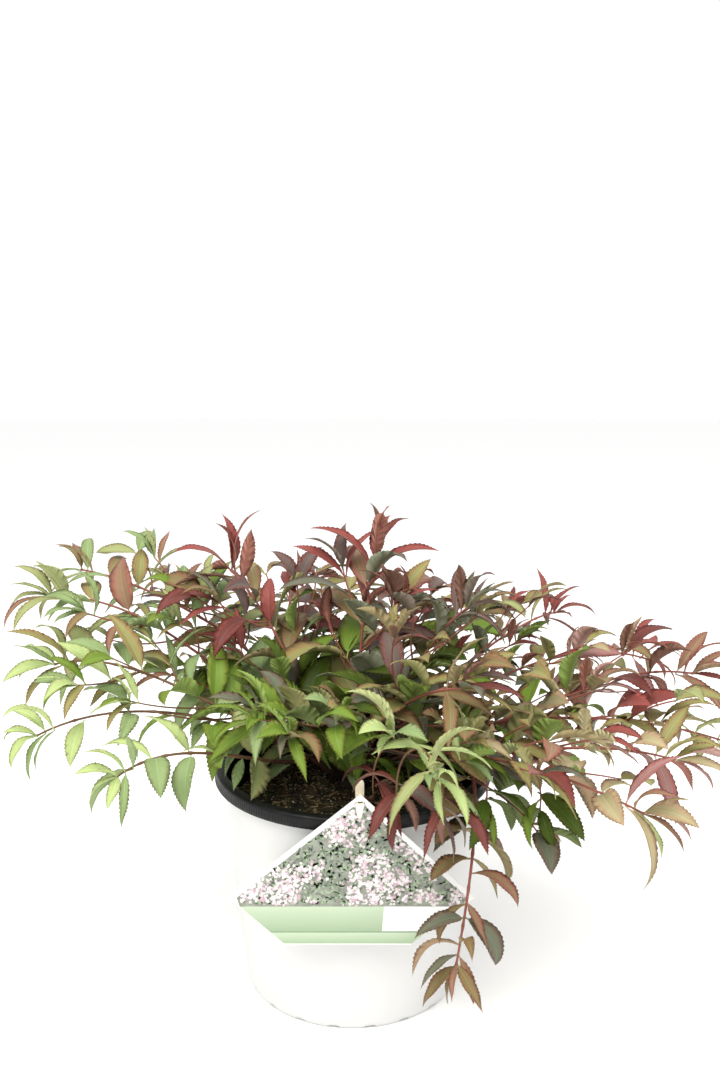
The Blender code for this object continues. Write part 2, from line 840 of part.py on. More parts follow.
def build_plant(parts, solids):
    guides = collection("sections")
    pentagon = section("limb_section", LIMB_SIDES, guides)
    triangle = section("twig_section", 3, guides)
    bark = material("bark", BARK, 0.6)
    tones = {tone: material(f"leaf_{tone}", colour, 0.5) for tone, colour in TONES.items()}
    space = Space()
    for solid in solids:
        space.add_object("pot", solid)
    space.add_object("crown", build_crown(parts, bark))
    limbs = shoot_limbs()
    stems = {}
    for shoot in SHOOTS:
        limb = limbs[shoot.name]
        cut_at = limb.route.length * LIMB_SHARE
        bough = limb.route.part(0, cut_at, LIMB_POINTS)
        made = tube(
            f"bough_{shoot.name}", bough, limb.radius, LIMB_TIP_RADIUS, pentagon, parts, bark
        )
        smooth(made)
        space.add_object(f"bough_{shoot.name}", made)
        stem = stem_route(limb.route, cut_at)
        stems[shoot.name] = stem
        thin = tube("stem_guide", stem, STEM_RADIUS, STEM_TIP_RADIUS, triangle, guides)
        space.add_object(shoot.name, thin)
        bpy.data.objects.remove(thin, do_unlink=True)
    for seed, shoot in enumerate(SHOOTS):
        stem = stems[shoot.name]
        twigs, leaves = grow_mass(shoot, seed, stem, space)
        build_mass(shoot, stem, twigs, leaves, triangle, parts, tones[shoot.tone])


def main():
    clear_scene()
    parts = collection("potted_deutzia")
    white = material("pot_white", (0.82, 0.82, 0.81), 0.4)
    black = material("pot_black", (0.03, 0.032, 0.034), 0.45)
    shell = build_shell(parts, white)
    liner = build_liner(parts, black)
    drill_drains((shell, liner))
    soil = build_soil(parts, material("soil", (0.05, 0.035, 0.025), 0.95))
    card = build_label(parts, material("label_card", (0.86, 0.86, 0.84), 0.5))
    peg = build_peg(parts, material("label_peg", (0.80, 0.76, 0.62), 0.45))
    for solid in (shell, liner, soil):
        settle(solid)
    build_plant(parts, (shell, liner, soil, card, peg))


main()
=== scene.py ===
"""The looks of the potted deutzia: pot, soil, label, bark, stems and leaves, with light and camera.

Lengths are in metres in the part's own frame: +Z up, -Y towards the viewer, origin under the pot.
"""

import json
import math
import random
from collections import namedtuple

import bmesh
import bpy
import numpy as np
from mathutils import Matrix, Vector, noise
from mathutils.bvhtree import BVHTree

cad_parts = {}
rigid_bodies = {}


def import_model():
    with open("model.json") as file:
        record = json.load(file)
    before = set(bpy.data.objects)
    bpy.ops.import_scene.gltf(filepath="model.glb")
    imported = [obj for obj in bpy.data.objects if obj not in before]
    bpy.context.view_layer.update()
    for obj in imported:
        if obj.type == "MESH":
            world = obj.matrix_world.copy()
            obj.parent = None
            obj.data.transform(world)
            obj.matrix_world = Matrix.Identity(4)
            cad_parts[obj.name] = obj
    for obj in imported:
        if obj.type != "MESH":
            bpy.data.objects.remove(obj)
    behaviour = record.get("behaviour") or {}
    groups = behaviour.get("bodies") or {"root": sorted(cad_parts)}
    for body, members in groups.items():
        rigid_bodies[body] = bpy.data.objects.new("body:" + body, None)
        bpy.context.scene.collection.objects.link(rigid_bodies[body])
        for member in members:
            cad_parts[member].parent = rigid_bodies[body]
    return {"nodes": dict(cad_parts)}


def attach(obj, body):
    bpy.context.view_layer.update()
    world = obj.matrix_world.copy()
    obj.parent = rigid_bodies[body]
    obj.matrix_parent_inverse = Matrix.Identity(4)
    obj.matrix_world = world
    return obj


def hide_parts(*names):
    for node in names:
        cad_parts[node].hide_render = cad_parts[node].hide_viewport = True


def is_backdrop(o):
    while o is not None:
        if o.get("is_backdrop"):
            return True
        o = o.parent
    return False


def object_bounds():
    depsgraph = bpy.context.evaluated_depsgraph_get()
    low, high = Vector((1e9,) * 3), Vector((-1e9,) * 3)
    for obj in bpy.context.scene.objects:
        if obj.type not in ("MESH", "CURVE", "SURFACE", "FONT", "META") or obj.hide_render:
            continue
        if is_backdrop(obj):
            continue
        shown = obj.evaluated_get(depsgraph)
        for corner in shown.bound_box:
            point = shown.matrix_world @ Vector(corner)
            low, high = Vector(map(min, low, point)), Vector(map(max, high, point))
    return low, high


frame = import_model()
CAD_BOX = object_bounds()
BODY = "root"

GAP = 0.0003

# Pot
POT_HEIGHT = 0.141
BASE_RADIUS = 0.069
WALL_SLOPE = 0.1
SHELL_WALL = 0.0010
LINER_WALL = 0.0009
SHELL_TOP = 0.1335
RIM_RADIUS = 0.0876
RIM_SKIRT = 0.0078
RIM_THICKNESS = 0.0012
FLOOR_TOP = 0.0042
FLOOR_RISE = 0.0030
PAD_RADIUS = 0.024
FOOT_INNER = 0.061
NOTCHES = 20
NOTCH_WIDTH = 0.0075
NOTCH_HEIGHT = 0.0014
DRAINS = 5
DRAIN_RADIUS = 0.0035
DRAIN_CIRCLE = 0.045
SHELL_COLUMNS = 480
RIBS = 276
RIB_DEPTH = 0.00022

# Soil
SOIL_TOP = 0.121
SOIL_SHOULDER = 0.010
SOIL_COLUMNS = 260
SOIL_RINGS = 70

# Label
LABEL_BACK = -0.0879
LABEL_THICKNESS = 0.0008
LABEL_APEX = 0.1560
LABEL_WAIST = 0.0950
LABEL_FOOT = 0.0665
LABEL_HALF_WIDTH = 0.069
LABEL_FOOT_HALF = 0.0355
LABEL_LEAN = 0.08
SLOT_HEIGHT = 0.1505
PEG_WIDTH = 0.0050
PEG_THICKNESS = 0.0013
BORDER = 0.0030
BAND_TOP = 0.0897
BAND_SPLIT = 0.0748
BAND_FOOT = 0.0672
BLOCK_LEFT = 0.0186
PRINT = 0.00006
BLOSSOMS = 1700
SPRIGS = 2600

# Root crown and limbs
CROWN = Vector((-0.003, 0.010, SOIL_TOP + GAP))
CROWN_RADIUS = 0.0125
CROWN_HEIGHT = 0.0110
KNOT = 0.55
LIMB_RADIUS = 0.0017
BRANCH_RADIUS = 0.0014
LIMB_TIP_RADIUS = 0.0011
LIMB_SHARE = 0.25

# Leaf masses, as the solids have them
STEM_RADIUS = 0.0015
STEM_TIP_RADIUS = 0.0009
STEM_STEP = 0.027
STEM_LEAD = 0.004
NODE_SPACING = 0.0255
FIRST_NODE = 0.0080
LEAF_LENGTH = 0.047
LEAF_WIDTH = 0.0180
LEAF_THICKNESS = 0.0010
LEAF_WAIST = 0.42
LEAF_FOLD = 0.16
TWIG_LENGTH = 0.052
SPACE_RADIUS = 0.075
CLEARANCE = 0.0006
ROOT_SHARE = 0.16

# Finer growth and the leaves' own form
FINE_STEM_TIP = 0.00060
FINE_TWIG = 0.00070
FINE_TWIG_TIP = 0.00045
FINER_TWIGS = 5
TWIGS_APART = {
    "left_low": 0,
    "left_front": 0,
    "drooping": 0,
    "right_low": 5,
    "right_front": 5,
    "front_right": 4,
    "centre_left": 5,
    "centre_front": 2,
    "centre_top": 4,
    "centre_right": 7,
    "front_inner": 7,
    "right_mid": 6,
    "right_back": 3,
    "right_high": 3,
    "left_mid": 5,
    "left_high": 5,
}
INNER_TWIGS = 6
SPARE_TIP = 0.6
SPARE_TIP_APART = {
    "left_low": 0.42,
    "left_front": 0.35,
    "drooping": 0.75,
    "centre_front": 0,
}
# Size of the leaves at the foot and at the tip of a shoot, where it isn't 1
LEAF_SIZES = {
    "left_low": (0.90, 0.84),
    "left_front": (0.90, 0.76),
    "left_mid": (1.08, 1.00),
    "left_rear": (1.10, 0.82),
    "left_back": (1.00, 0.88),
    "back_left": (1.28, 0.64),
    "back_mid": (1.28, 0.66),
    "back_high": (1.28, 0.64),
    "back_right": (1.10, 0.76),
    "centre_back": (1.20, 0.78),
    "centre_left": (1.20, 1.14),
    "centre_top": (1.20, 1.18),
    "centre_right": (1.15, 1.00),
    "front_inner": (1.15, 1.00),
    "rear_far": (1.10, 0.78),
    "rear_right": (1.05, 0.84),
    "right_back": (1.00, 0.82),
    "drooping": (1.05, 0.80),
}
# Twigs that hang over the rim: share of the stem where each starts, its heading and its length
HANGING = {
    "front_right": ((0.50, 202, 0.040), (0.66, 228, 0.036), (0.82, 292, 0.034)),
    "right_low": ((0.30, 290, 0.034), (0.46, 340, 0.036)),
}
HANGING_SIZE = 0.84
# What stands for the share of a leaf that hangs
HANGS = -1.0
# Breadth of the leaves at the foot and at the tip of a shoot, where it isn't 1
LEAF_BREADTHS = {
    "left_low": (1.20, 1.05),
    "left_front": (1.15, 1.00),
    "left_mid": (1.20, 1.10),
    "left_high": (1.15, 0.95),
    "centre_left": (1.15, 1.05),
    "centre_top": (1.15, 1.08),
    "centre_right": (1.15, 1.05),
    "centre_front": (1.30, 1.15),
    "front_inner": (1.25, 1.05),
    "right_mid": (1.15, 1.05),
    "right_front": (1.20, 1.10),
    "right_low": (1.25, 1.10),
    "drooping": (1.50, 1.00),
}
# Shoots that fill the middle of the crown, with one more set of pairs on the first part of their stems
CROWDED = (
    "left_rear",
    "centre_left",
    "centre_top",
    "centre_right",
    "centre_back",
    "front_inner",
)
CROWDED_SHARE = 0.65
# Shoots behind the upright ones, whose leaves lie level or hang, so that the tips in front stand free
LEVEL = ("left_rear", "back_left", "back_mid", "back_high", "back_right", "centre_back", "rear_far")
CROWDED_ROOM = 0.45
FINER_DROOP = 0.34
DROOPS_APART = {"centre_front": -0.05}
# The leaf pairs that crowd at a tip: how far behind it, size, turn and spread from the stem
TIP_RINGS = (
    (0.001, 0.60, 100, 28),
    (0.006, 0.80, 50, 50),
    (0.011, 0.90, 130, 62),
)
# A leaf that meets the pot is drawn in by this factor, this many times at most, to this clearance
DRAWN_IN = 0.90
DRAWN_IN_STEPS = 7
LEAF_CLEAR = 0.0006
TEETH = 15
TOOTH = 0.00030
PETIOLE = 0.07
PETIOLE_HALF = 0.00042
MIDRIB_HALF = 0.00026
BLADE = 0.00022
KEEL = 0.00042
VEINS = 7
VEIN_SLANT = 0.15
QUILT = 0.00017
SLIM = 0.72
WAVE = 0.0003
ARC_STEPS = 40

Shoot = namedtuple("Shoot", "name parent fork azimuth swing reach arch tip tone twigs")
SHOOTS = (
    Shoot("left_high", None, 0, 171, -6, 0.200, 0.246, 0.240, "mixed", 3),
    Shoot("left_back", "left_high", 0.62, 158, 5, 0.205, 0.250, 0.250, "red", 2),
    Shoot("left_mid", "left_high", 0.55, 182, 3, 0.186, 0.222, 0.206, "green", 3),
    Shoot("left_low", None, 0, 194, -3, 0.192, 0.200, 0.174, "lime", 0),
    Shoot("left_front", "left_low", 0.45, 216, -8, 0.158, 0.182, 0.168, "lime", 0),
    Shoot("left_rear", None, 0, 142, 6, 0.176, 0.244, 0.240, "green", 3),
    Shoot("centre_left", None, 0, 152, -10, 0.092, 0.226, 0.256, "red", 3),
    Shoot("centre_front", "centre_left", 0.5, 230, 10, 0.084, 0.184, 0.190, "green", 3),
    Shoot("centre_top", None, 0, 66, 20, 0.038, 0.230, 0.270, "red", 3),
    Shoot("centre_back", "centre_top", 0.5, 66, -12, 0.098, 0.232, 0.240, "red", 3),
    Shoot("centre_right", None, 0, 2, 12, 0.072, 0.222, 0.240, "dusk", 3),
    Shoot("rear_right", None, 0, 34, -6, 0.176, 0.220, 0.214, "red", 3),
    Shoot("rear_far", "rear_right", 0.5, 54, 5, 0.190, 0.214, 0.200, "green", 3),
    Shoot("right_back", None, 0, 13, 6, 0.205, 0.216, 0.194, "red", 2),
    Shoot("right_high", "right_back", 0.6, 1, 3, 0.216, 0.206, 0.197, "red", 2),
    Shoot("right_mid", None, 0, 350, 0, 0.232, 0.190, 0.166, "olive", 3),
    Shoot("right_front", "right_mid", 0.5, 338, -5, 0.196, 0.186, 0.170, "olive", 2),
    Shoot("right_low", None, 0, 325, -6, 0.190, 0.178, 0.154, "olive", 2),
    Shoot("drooping", "right_low", 0.75, 294, 44, 0.136, 0.176, 0.076, "dusk", 1),
    Shoot("front_right", None, 0, 290, 8, 0.130, 0.196, 0.178, "lime", 2),
    Shoot("front_inner", "front_right", 0.45, 312, -10, 0.092, 0.206, 0.210, "dusk", 3),
    Shoot("back_left", "left_rear", 0.5, 120, -5, 0.190, 0.226, 0.216, "dusk", 2),
    Shoot("back_mid", None, 0, 98, 6, 0.196, 0.222, 0.210, "green", 2),
    Shoot("back_right", "back_mid", 0.5, 76, -6, 0.192, 0.210, 0.196, "red", 3),
    Shoot("back_high", "centre_top", 0.8, 116, 8, 0.108, 0.228, 0.226, "dusk", 3),
)

# Leaf tones: the upper face by the midrib, the same face by the margin, and the part's material
Tone = namedtuple("Tone", "upper edge slot")
TONES = {
    "burgundy": Tone((0.114, 0.035, 0.029), (0.133, 0.034, 0.028), "leaf_red"),
    "crimson": Tone((0.202, 0.056, 0.047), (0.218, 0.052, 0.043), "leaf_red"),
    "rose": Tone((0.270, 0.145, 0.132), (0.280, 0.108, 0.098), "leaf_red"),
    "plum": Tone((0.105, 0.077, 0.066), (0.126, 0.057, 0.048), "leaf_dusk"),
    "russet": Tone((0.212, 0.130, 0.076), (0.228, 0.094, 0.064), "leaf_mixed"),
    "umber": Tone((0.176, 0.136, 0.060), (0.188, 0.106, 0.050), "leaf_mixed"),
    "fawn": Tone((0.322, 0.280, 0.155), (0.320, 0.225, 0.130), "leaf_olive"),
    "olive": Tone((0.215, 0.205, 0.075), (0.228, 0.158, 0.064), "leaf_olive"),
    "dusk": Tone((0.106, 0.117, 0.078), (0.119, 0.091, 0.060), "leaf_dusk"),
    "moss": Tone((0.250, 0.283, 0.116), (0.255, 0.250, 0.104), "leaf_green"),
    "green": Tone((0.122, 0.195, 0.026), (0.128, 0.174, 0.024), "leaf_green"),
    # The next tone is the green leaf's colour darkened as painted shade, for leaves inside and under the crown
    "deep": Tone((0.046, 0.077, 0.008), (0.051, 0.069, 0.008), "leaf_green"),
    "sage": Tone((0.190, 0.262, 0.108), (0.190, 0.244, 0.100), "leaf_green"),
    "lime": Tone((0.325, 0.405, 0.162), (0.325, 0.385, 0.152), "leaf_lime"),
}

# Tones near the foot and near the tip of a shoot of each kind, with the piece that stands for it; the darkest
# green in these lists is painted shade inside and under the crown
Deal = namedtuple("Deal", "inner outer stands")
DEALS = {
    "red": Deal(
        ("deep", "green", "dusk", "olive", "green"),
        ("burgundy", "crimson", "plum", "umber", "russet", "dusk", "olive", "umber"),
        "burgundy",
    ),
    "pale_red": Deal(
        ("olive", "dusk", "umber", "green"),
        ("rose", "crimson", "rose", "russet", "fawn", "umber", "olive", "burgundy"),
        "burgundy",
    ),
    "mixed": Deal(
        ("sage", "green", "moss", "sage"),
        ("olive", "sage", "russet", "sage", "umber", "moss"),
        "russet",
    ),
    "fresh": Deal(("green", "sage", "green"), ("sage", "moss", "lime", "olive", "green"), "green"),
    "green": Deal(("deep", "green", "olive"), ("umber", "olive", "plum", "dusk", "moss"), "green"),
    "shade": Deal(
        ("green", "deep", "olive", "green", "deep"),
        ("green", "dusk", "sage", "green", "umber", "deep"),
        "green",
    ),
    "lime": Deal(("green", "sage", "moss"), ("lime", "lime", "sage"), "lime"),
    "dusk": Deal(
        ("deep", "dusk", "green", "olive"),
        ("plum", "dusk", "umber", "burgundy", "olive"),
        "dusk",
    ),
    "olive": Deal(
        ("olive", "green", "umber", "dusk"),
        ("fawn", "olive", "russet", "crimson", "fawn", "moss", "rose", "olive"),
        "olive",
    ),
    "lime_over_plum": Deal(
        ("plum", "green", "sage", "green", "burgundy"),
        ("lime", "sage", "lime", "moss"),
        "lime",
    ),
    "bronze": Deal(("deep", "olive", "dusk"), ("dusk", "umber", "russet"), "olive"),
}
TIP_TONES = {
    "red": ("crimson", "burgundy", "crimson"),
    "pale_red": ("crimson", "rose", "russet", "burgundy"),
}
HANGING_TONES = {
    "front_right": ("burgundy", "plum", "burgundy"),
    "right_low": ("green", "deep", "olive"),
}
# Deals that also turn with height: inner tones low in the crown, outer ones high in it
UPRIGHT = ("red", "green", "shade", "dusk")
TURN_HEIGHT = 0.200
TURN_RATE = 8.0
DEALT_APART = {
    "left_back": "mixed",
    "left_mid": "fresh",
    "drooping": "bronze",
    "front_right": "lime_over_plum",
    "centre_front": "shade",
    "right_back": "pale_red",
    "right_high": "pale_red",
}


def shader_node(tree, kind, **values):
    """A node whose attributes and inputs are set by name; spaces in input names are underscores."""
    made = tree.nodes.new(kind)
    for key, value in values.items():
        if hasattr(made, key):
            setattr(made, key, value)
        else:
            made.inputs[key.replace("_", " ")].default_value = value
    return made


def base_material(name, colour, roughness, specular=0.5):
    made = bpy.data.materials.new(name)
    made.use_nodes = True
    bsdf = made.node_tree.nodes["Principled BSDF"]
    bsdf.inputs["Base Color"].default_value = (*colour, 1.0)
    bsdf.inputs["Roughness"].default_value = roughness
    bsdf.inputs["Specular IOR Level"].default_value = specular
    made.diffuse_color = (*colour, 1.0)
    return made, made.node_tree, bsdf


def grain(tree, scale, detail=3.0, stretch=(1, 1, 1)):
    """Noise in the object's own coordinates, which are metres."""
    place = shader_node(tree, "ShaderNodeTexCoord")
    mapping = shader_node(tree, "ShaderNodeMapping", Scale=stretch)
    made = shader_node(tree, "ShaderNodeTexNoise", Scale=scale, Detail=detail)
    tree.links.new(place.outputs["Object"], mapping.inputs["Vector"])
    tree.links.new(mapping.outputs["Vector"], made.inputs["Vector"])
    return made.outputs["Fac"]


def ramp(tree, value, low, high, start=0.35, end=0.65):
    made = shader_node(
        tree, "ShaderNodeMapRange", From_Min=start, From_Max=end, To_Min=low, To_Max=high
    )
    tree.links.new(value, made.inputs["Value"])
    return made.outputs["Result"]


def height_share(tree, low, high):
    """Rises from 0 at one height to 1 at another."""
    place = shader_node(tree, "ShaderNodeTexCoord")
    split = shader_node(tree, "ShaderNodeSeparateXYZ")
    tree.links.new(place.outputs["Object"], split.inputs["Vector"])
    return ramp(tree, split.outputs["Z"], 0.0, 1.0, low, high)


def blend_colours(tree, factor, first, second):
    made = shader_node(tree, "ShaderNodeMix", data_type="RGBA")
    made.inputs[6].default_value = (*first, 1.0)
    made.inputs[7].default_value = (*second, 1.0)
    tree.links.new(factor, made.inputs["Factor"])
    return made.outputs[2]


def add_bump(tree, bsdf, height, distance, strength=1.0):
    made = shader_node(tree, "ShaderNodeBump", Strength=strength, Distance=distance)
    tree.links.new(height, made.inputs["Height"])
    tree.links.new(made.outputs["Normal"], bsdf.inputs["Normal"])


def grained_material(name, colour, roughness, scale, distance, spread=0.08, second=None):
    """Uneven gloss and a fine relief, with a second colour mottled in where one is given."""
    made, tree, bsdf = base_material(name, colour, roughness)
    value = grain(tree, scale)
    tree.links.new(ramp(tree, value, roughness - spread, roughness + spread), bsdf.inputs["Roughness"])
    add_bump(tree, bsdf, value, distance)
    if second is not None:
        patches = ramp(tree, grain(tree, scale * 0.22), 0.0, 1.0)
        tree.links.new(blend_colours(tree, patches, colour, second), bsdf.inputs["Base Color"])
    return made


class Soup:
    """Vertices and faces gathered for one joined piece."""

    def __init__(self):
        self.vertices = []
        self.faces = []
        self.slots = []
        self.count = 0

    def add(self, vertices, faces, slots=0):
        places = np.array([tuple(v) for v in vertices])
        self.vertices.append(places)
        self.faces.extend(tuple(i + self.count for i in face) for face in faces)
        self.slots.extend(slots if hasattr(slots, "__len__") else [slots] * len(faces))
        self.count += len(places)

    def piece(self, name, materials, slot, replaced=(), smooth=True, weld=None):
        mesh = bpy.data.meshes.new(name)
        mesh.from_pydata(np.concatenate(self.vertices), [], self.faces)
        mesh.polygons.foreach_set("material_index", self.slots)
        for surface in materials:
            mesh.materials.append(surface)
        if weld is not None:
            shape = bmesh.new()
            shape.from_mesh(mesh)
            bmesh.ops.remove_doubles(shape, verts=shape.verts, dist=weld)
            bmesh.ops.recalc_face_normals(shape, faces=shape.faces)
            shape.to_mesh(mesh)
            shape.free()
        if smooth:
            mesh.shade_smooth()
        obj = bpy.data.objects.new(name, mesh)
        bpy.context.scene.collection.objects.link(obj)
        return settle(obj, replaced)


def settle(obj, replaced=()):
    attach(obj, BODY)
    if replaced:
        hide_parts(*replaced)
    return obj


def outer_radius(height):
    return BASE_RADIUS + WALL_SLOPE * height


def liner_outer(height):
    return outer_radius(height) - SHELL_WALL - GAP


def liner_inner(height):
    return liner_outer(height) - LINER_WALL


def lathe(columns, profile_at):
    """Vertices and faces of a turned form whose profile may change with the angle."""
    vertices = []
    for k in range(columns):
        angle = math.tau * k / columns
        for radius, height in profile_at(angle):
            vertices.append((radius * math.cos(angle), radius * math.sin(angle), height))
    count = len(vertices) // columns
    faces = []
    for k in range(columns):
        near = k * count
        far = (k + 1) % columns * count
        for i in range(count - 1):
            faces.append((near + i, near + i + 1, far + i + 1, far + i))
    return vertices, faces


def arc(centre, radius, start, end, steps):
    """Points of an arc in the profile plane; angles are in degrees from outward to up."""
    points = []
    for i in range(steps + 1):
        a = math.radians(start + (end - start) * i / steps)
        points.append((centre[0] + radius * math.cos(a), centre[1] + radius * math.sin(a)))
    return points


def drill(obj):
    """Cuts the round drain holes through a turned floor."""
    cutters = bpy.data.collections.new("drains")
    for k in range(DRAINS):
        angle = math.tau * k / DRAINS
        mesh = bpy.data.meshes.new("drain")
        shape = bmesh.new()
        bmesh.ops.create_cone(
            shape, cap_ends=True, segments=28, radius1=DRAIN_RADIUS, radius2=DRAIN_RADIUS, depth=0.012
        )
        shape.to_mesh(mesh)
        shape.free()
        cutter = bpy.data.objects.new("drain", mesh)
        cutter.location = (DRAIN_CIRCLE * math.cos(angle), DRAIN_CIRCLE * math.sin(angle), FLOOR_RISE)
        cutters.objects.link(cutter)
    bpy.context.scene.collection.children.link(cutters)
    boolean = obj.modifiers.new("drains", "BOOLEAN")
    boolean.operand_type = "COLLECTION"
    boolean.collection = cutters
    boolean.solver = "EXACT"
    bpy.context.view_layer.update()
    graph = bpy.context.evaluated_depsgraph_get()
    mesh = bpy.data.meshes.new_from_object(obj.evaluated_get(graph))
    obj.modifiers.clear()
    obj.data = mesh
    for cutter in list(cutters.objects):
        bpy.data.objects.remove(cutter, do_unlink=True)
    bpy.data.collections.remove(cutters)
    mesh.shade_smooth()
    mesh.set_sharp_from_angle(angle=math.radians(50))


def notch_rise(angle):
    """How far the foot is lifted at this angle: small rounded notches, evenly spaced."""
    pitch = math.tau / NOTCHES
    offset = abs(angle % pitch - pitch / 2) * BASE_RADIUS
    edge = (NOTCH_WIDTH / 2 - offset) / 0.0012
    return NOTCH_HEIGHT * min(max(edge, 0.0), 1.0)


def build_shell():
    under_rim = SHELL_TOP

    def profile_at(angle):
        rise = notch_rise(angle)
        foot = max(rise, 0.0)
        points = [(0.0, FLOOR_TOP), (outer_radius(FLOOR_TOP) - SHELL_WALL, FLOOR_TOP)]
        points += [(outer_radius(under_rim) - SHELL_WALL, under_rim)]
        points += [(outer_radius(under_rim), under_rim)]
        points += [(outer_radius(under_rim * k / 10), under_rim * k / 10) for k in range(9, 0, -1)]
        points += [(outer_radius(0.0042), 0.0042), (outer_radius(0.002), max(0.002, foot + 0.0004))]
        points += [(BASE_RADIUS - 0.0003, max(0.0006, foot + 0.0001)), (BASE_RADIUS - 0.0011, foot)]
        points += [(FOOT_INNER + 0.003, foot), (FOOT_INNER + 0.0025, 0.0), (FOOT_INNER, 0.0)]
        points += [(FOOT_INNER - 0.002, FLOOR_RISE), (PAD_RADIUS + 0.002, FLOOR_RISE)]
        points += [(PAD_RADIUS, 0.0), (0.0, 0.0)]
        return points

    soup = Soup()
    soup.add(*lathe(SHELL_COLUMNS, profile_at))
    white = grained_material("moulded_white", (0.60, 0.60, 0.595), 0.36, 900, 0.00002, 0.06)
    obj = soup.piece("pot_wall", [white], "pot_white", ["pot_shell"], weld=1e-6)
    drill(obj)


def build_liner():
    floor = FLOOR_TOP + GAP
    top = POT_HEIGHT
    tuck = SHELL_TOP + GAP
    skirt_foot = POT_HEIGHT - RIM_SKIRT
    inside = liner_inner(top)
    roll = 0.0018

    def profile_at(angle):
        rib = RIB_DEPTH * max(0.0, math.cos(RIBS * angle))
        outer = RIM_RADIUS - RIB_DEPTH + rib
        points = [(0.0, floor + LINER_WALL)]
        points += [(liner_inner(floor + LINER_WALL) - 0.001, floor + LINER_WALL)]
        points += [(liner_inner(floor + 0.004), floor + 0.004)]
        points += [(liner_inner(tuck - 0.002), tuck - 0.002), (inside - 0.0001, top - 0.0022)]
        points += arc((inside + 0.0014, top - 0.0015), 0.0015, 180, 90, 5)
        points += arc((RIM_RADIUS - RIB_DEPTH - roll, top - roll), roll, 90, 25, 5)
        points += [(RIM_RADIUS - RIB_DEPTH, top - roll - 0.0002), (outer, top - roll - 0.0008)]
        points += [(outer, (top - roll + skirt_foot) / 2), (outer, skirt_foot + 0.0004)]
        points += [(RIM_RADIUS - RIB_DEPTH - 0.0003, skirt_foot)]
        points += [(RIM_RADIUS - RIM_THICKNESS, skirt_foot), (RIM_RADIUS - RIM_THICKNESS, tuck)]
        points += [(liner_outer(tuck), tuck), (liner_outer(floor + 0.0015), floor + 0.0015)]
        points += [(liner_outer(floor) - 0.001, floor), (0.0, floor)]
        return points

    soup = Soup()
    soup.add(*lathe(RIBS * 4, profile_at))
    made, tree, bsdf = base_material("moulded_black", (0.005, 0.006, 0.006), 0.34, 0.16)
    value = grain(tree, 700)
    tree.links.new(ramp(tree, value, 0.28, 0.42), bsdf.inputs["Roughness"])
    dust = ramp(tree, grain(tree, 160, 6.0), 0.0, 1.0, 0.48, 0.75)
    tree.links.new(
        blend_colours(tree, dust, (0.004, 0.005, 0.005), (0.012, 0.012, 0.011)),
        bsdf.inputs["Base Color"],
    )
    add_bump(tree, bsdf, value, 0.00004)
    obj = soup.piece("pot_rim_and_liner", [made], "pot_black", ["pot_liner_rim"], weld=1e-6)
    drill(obj)


def soil_relief(x, y):
    """Height of the soil's surface above its mean, with clods, crumbs and grit."""
    place = Vector((x, y, 0.0))
    high = 0.0016 * noise.noise(place * 45) + 0.0012 * noise.noise(place * 130 + Vector((7, 3, 1)))
    return high + 0.0007 * noise.noise(place * 420) + 0.0004 * noise.noise(place * 1100)


def soil_height(x, y):
    radius = math.hypot(x, y)
    edge = liner_inner(SOIL_TOP) - 0.0005
    start = edge - 0.013
    share = min(max((radius - start) / (edge - start), 0.0), 1.0)
    return SOIL_TOP + soil_relief(x, y) - 0.001 - SOIL_SHOULDER * 0.9 * share**2.6


def on_soil(rng, reach=0.0745, core=0.004):
    """A random place on the soil, as x, y and the surface's height there."""
    radius = math.sqrt(rng.uniform((core / reach) ** 2, 1.0)) * reach
    angle = rng.uniform(0, math.tau)
    x, y = radius * math.cos(angle), radius * math.sin(angle)
    return Vector((x, y, soil_height(x, y)))


def crumb(rng, centre, size):
    """A small uneven lump."""
    turn = rng.uniform(0, math.tau)
    vertices = []
    for layer, (share, high) in enumerate(((0.55, -0.45), (1.0, 0.1), (0.55, 0.6))):
        for k in range(5):
            a = turn + math.tau * (k + 0.5 * layer) / 5
            r = size * share * rng.uniform(0.7, 1.2)
            vertices.append(centre + Vector((r * math.cos(a), r * math.sin(a), size * high)))
    faces = [tuple(range(4, -1, -1)), tuple(range(10, 15))]
    for layer in (0, 5):
        for k in range(5):
            n = (k + 1) % 5
            faces.append((layer + k, layer + n, layer + 5 + n, layer + 5 + k))
    return vertices, faces


def splinter(rng, centre, length, width):
    """A flat bent fibre of bark that lies on the soil."""
    heading = rng.uniform(0, math.tau)
    along = Vector((math.cos(heading), math.sin(heading), rng.uniform(-0.25, 0.35)))
    side = Vector((-math.sin(heading), math.cos(heading), rng.uniform(-0.3, 0.3)))
    bend = rng.uniform(-0.25, 0.25)
    vertices = []
    steps = 5
    for i in range(steps + 1):
        t = i / steps - 0.5
        half = width * (1 - (2 * abs(t)) ** 2 * 0.8) / 2
        middle = centre + along * length * t + side * bend * length * (0.25 - t * t)
        middle.z = max(middle.z, soil_height(middle.x, middle.y) + 0.0002)
        vertices += [middle - side * half, middle + Vector((0, 0, width * 0.4)), middle + side * half]
        vertices += [middle - Vector((0, 0, width * 0.4))]
    faces = [(3, 2, 1, 0), tuple(steps * 4 + k for k in range(4))]
    for i in range(steps):
        for k in range(4):
            n = (k + 1) % 4
            faces.append((i * 4 + k, i * 4 + n, i * 4 + 4 + n, i * 4 + 4 + k))
    return vertices, faces


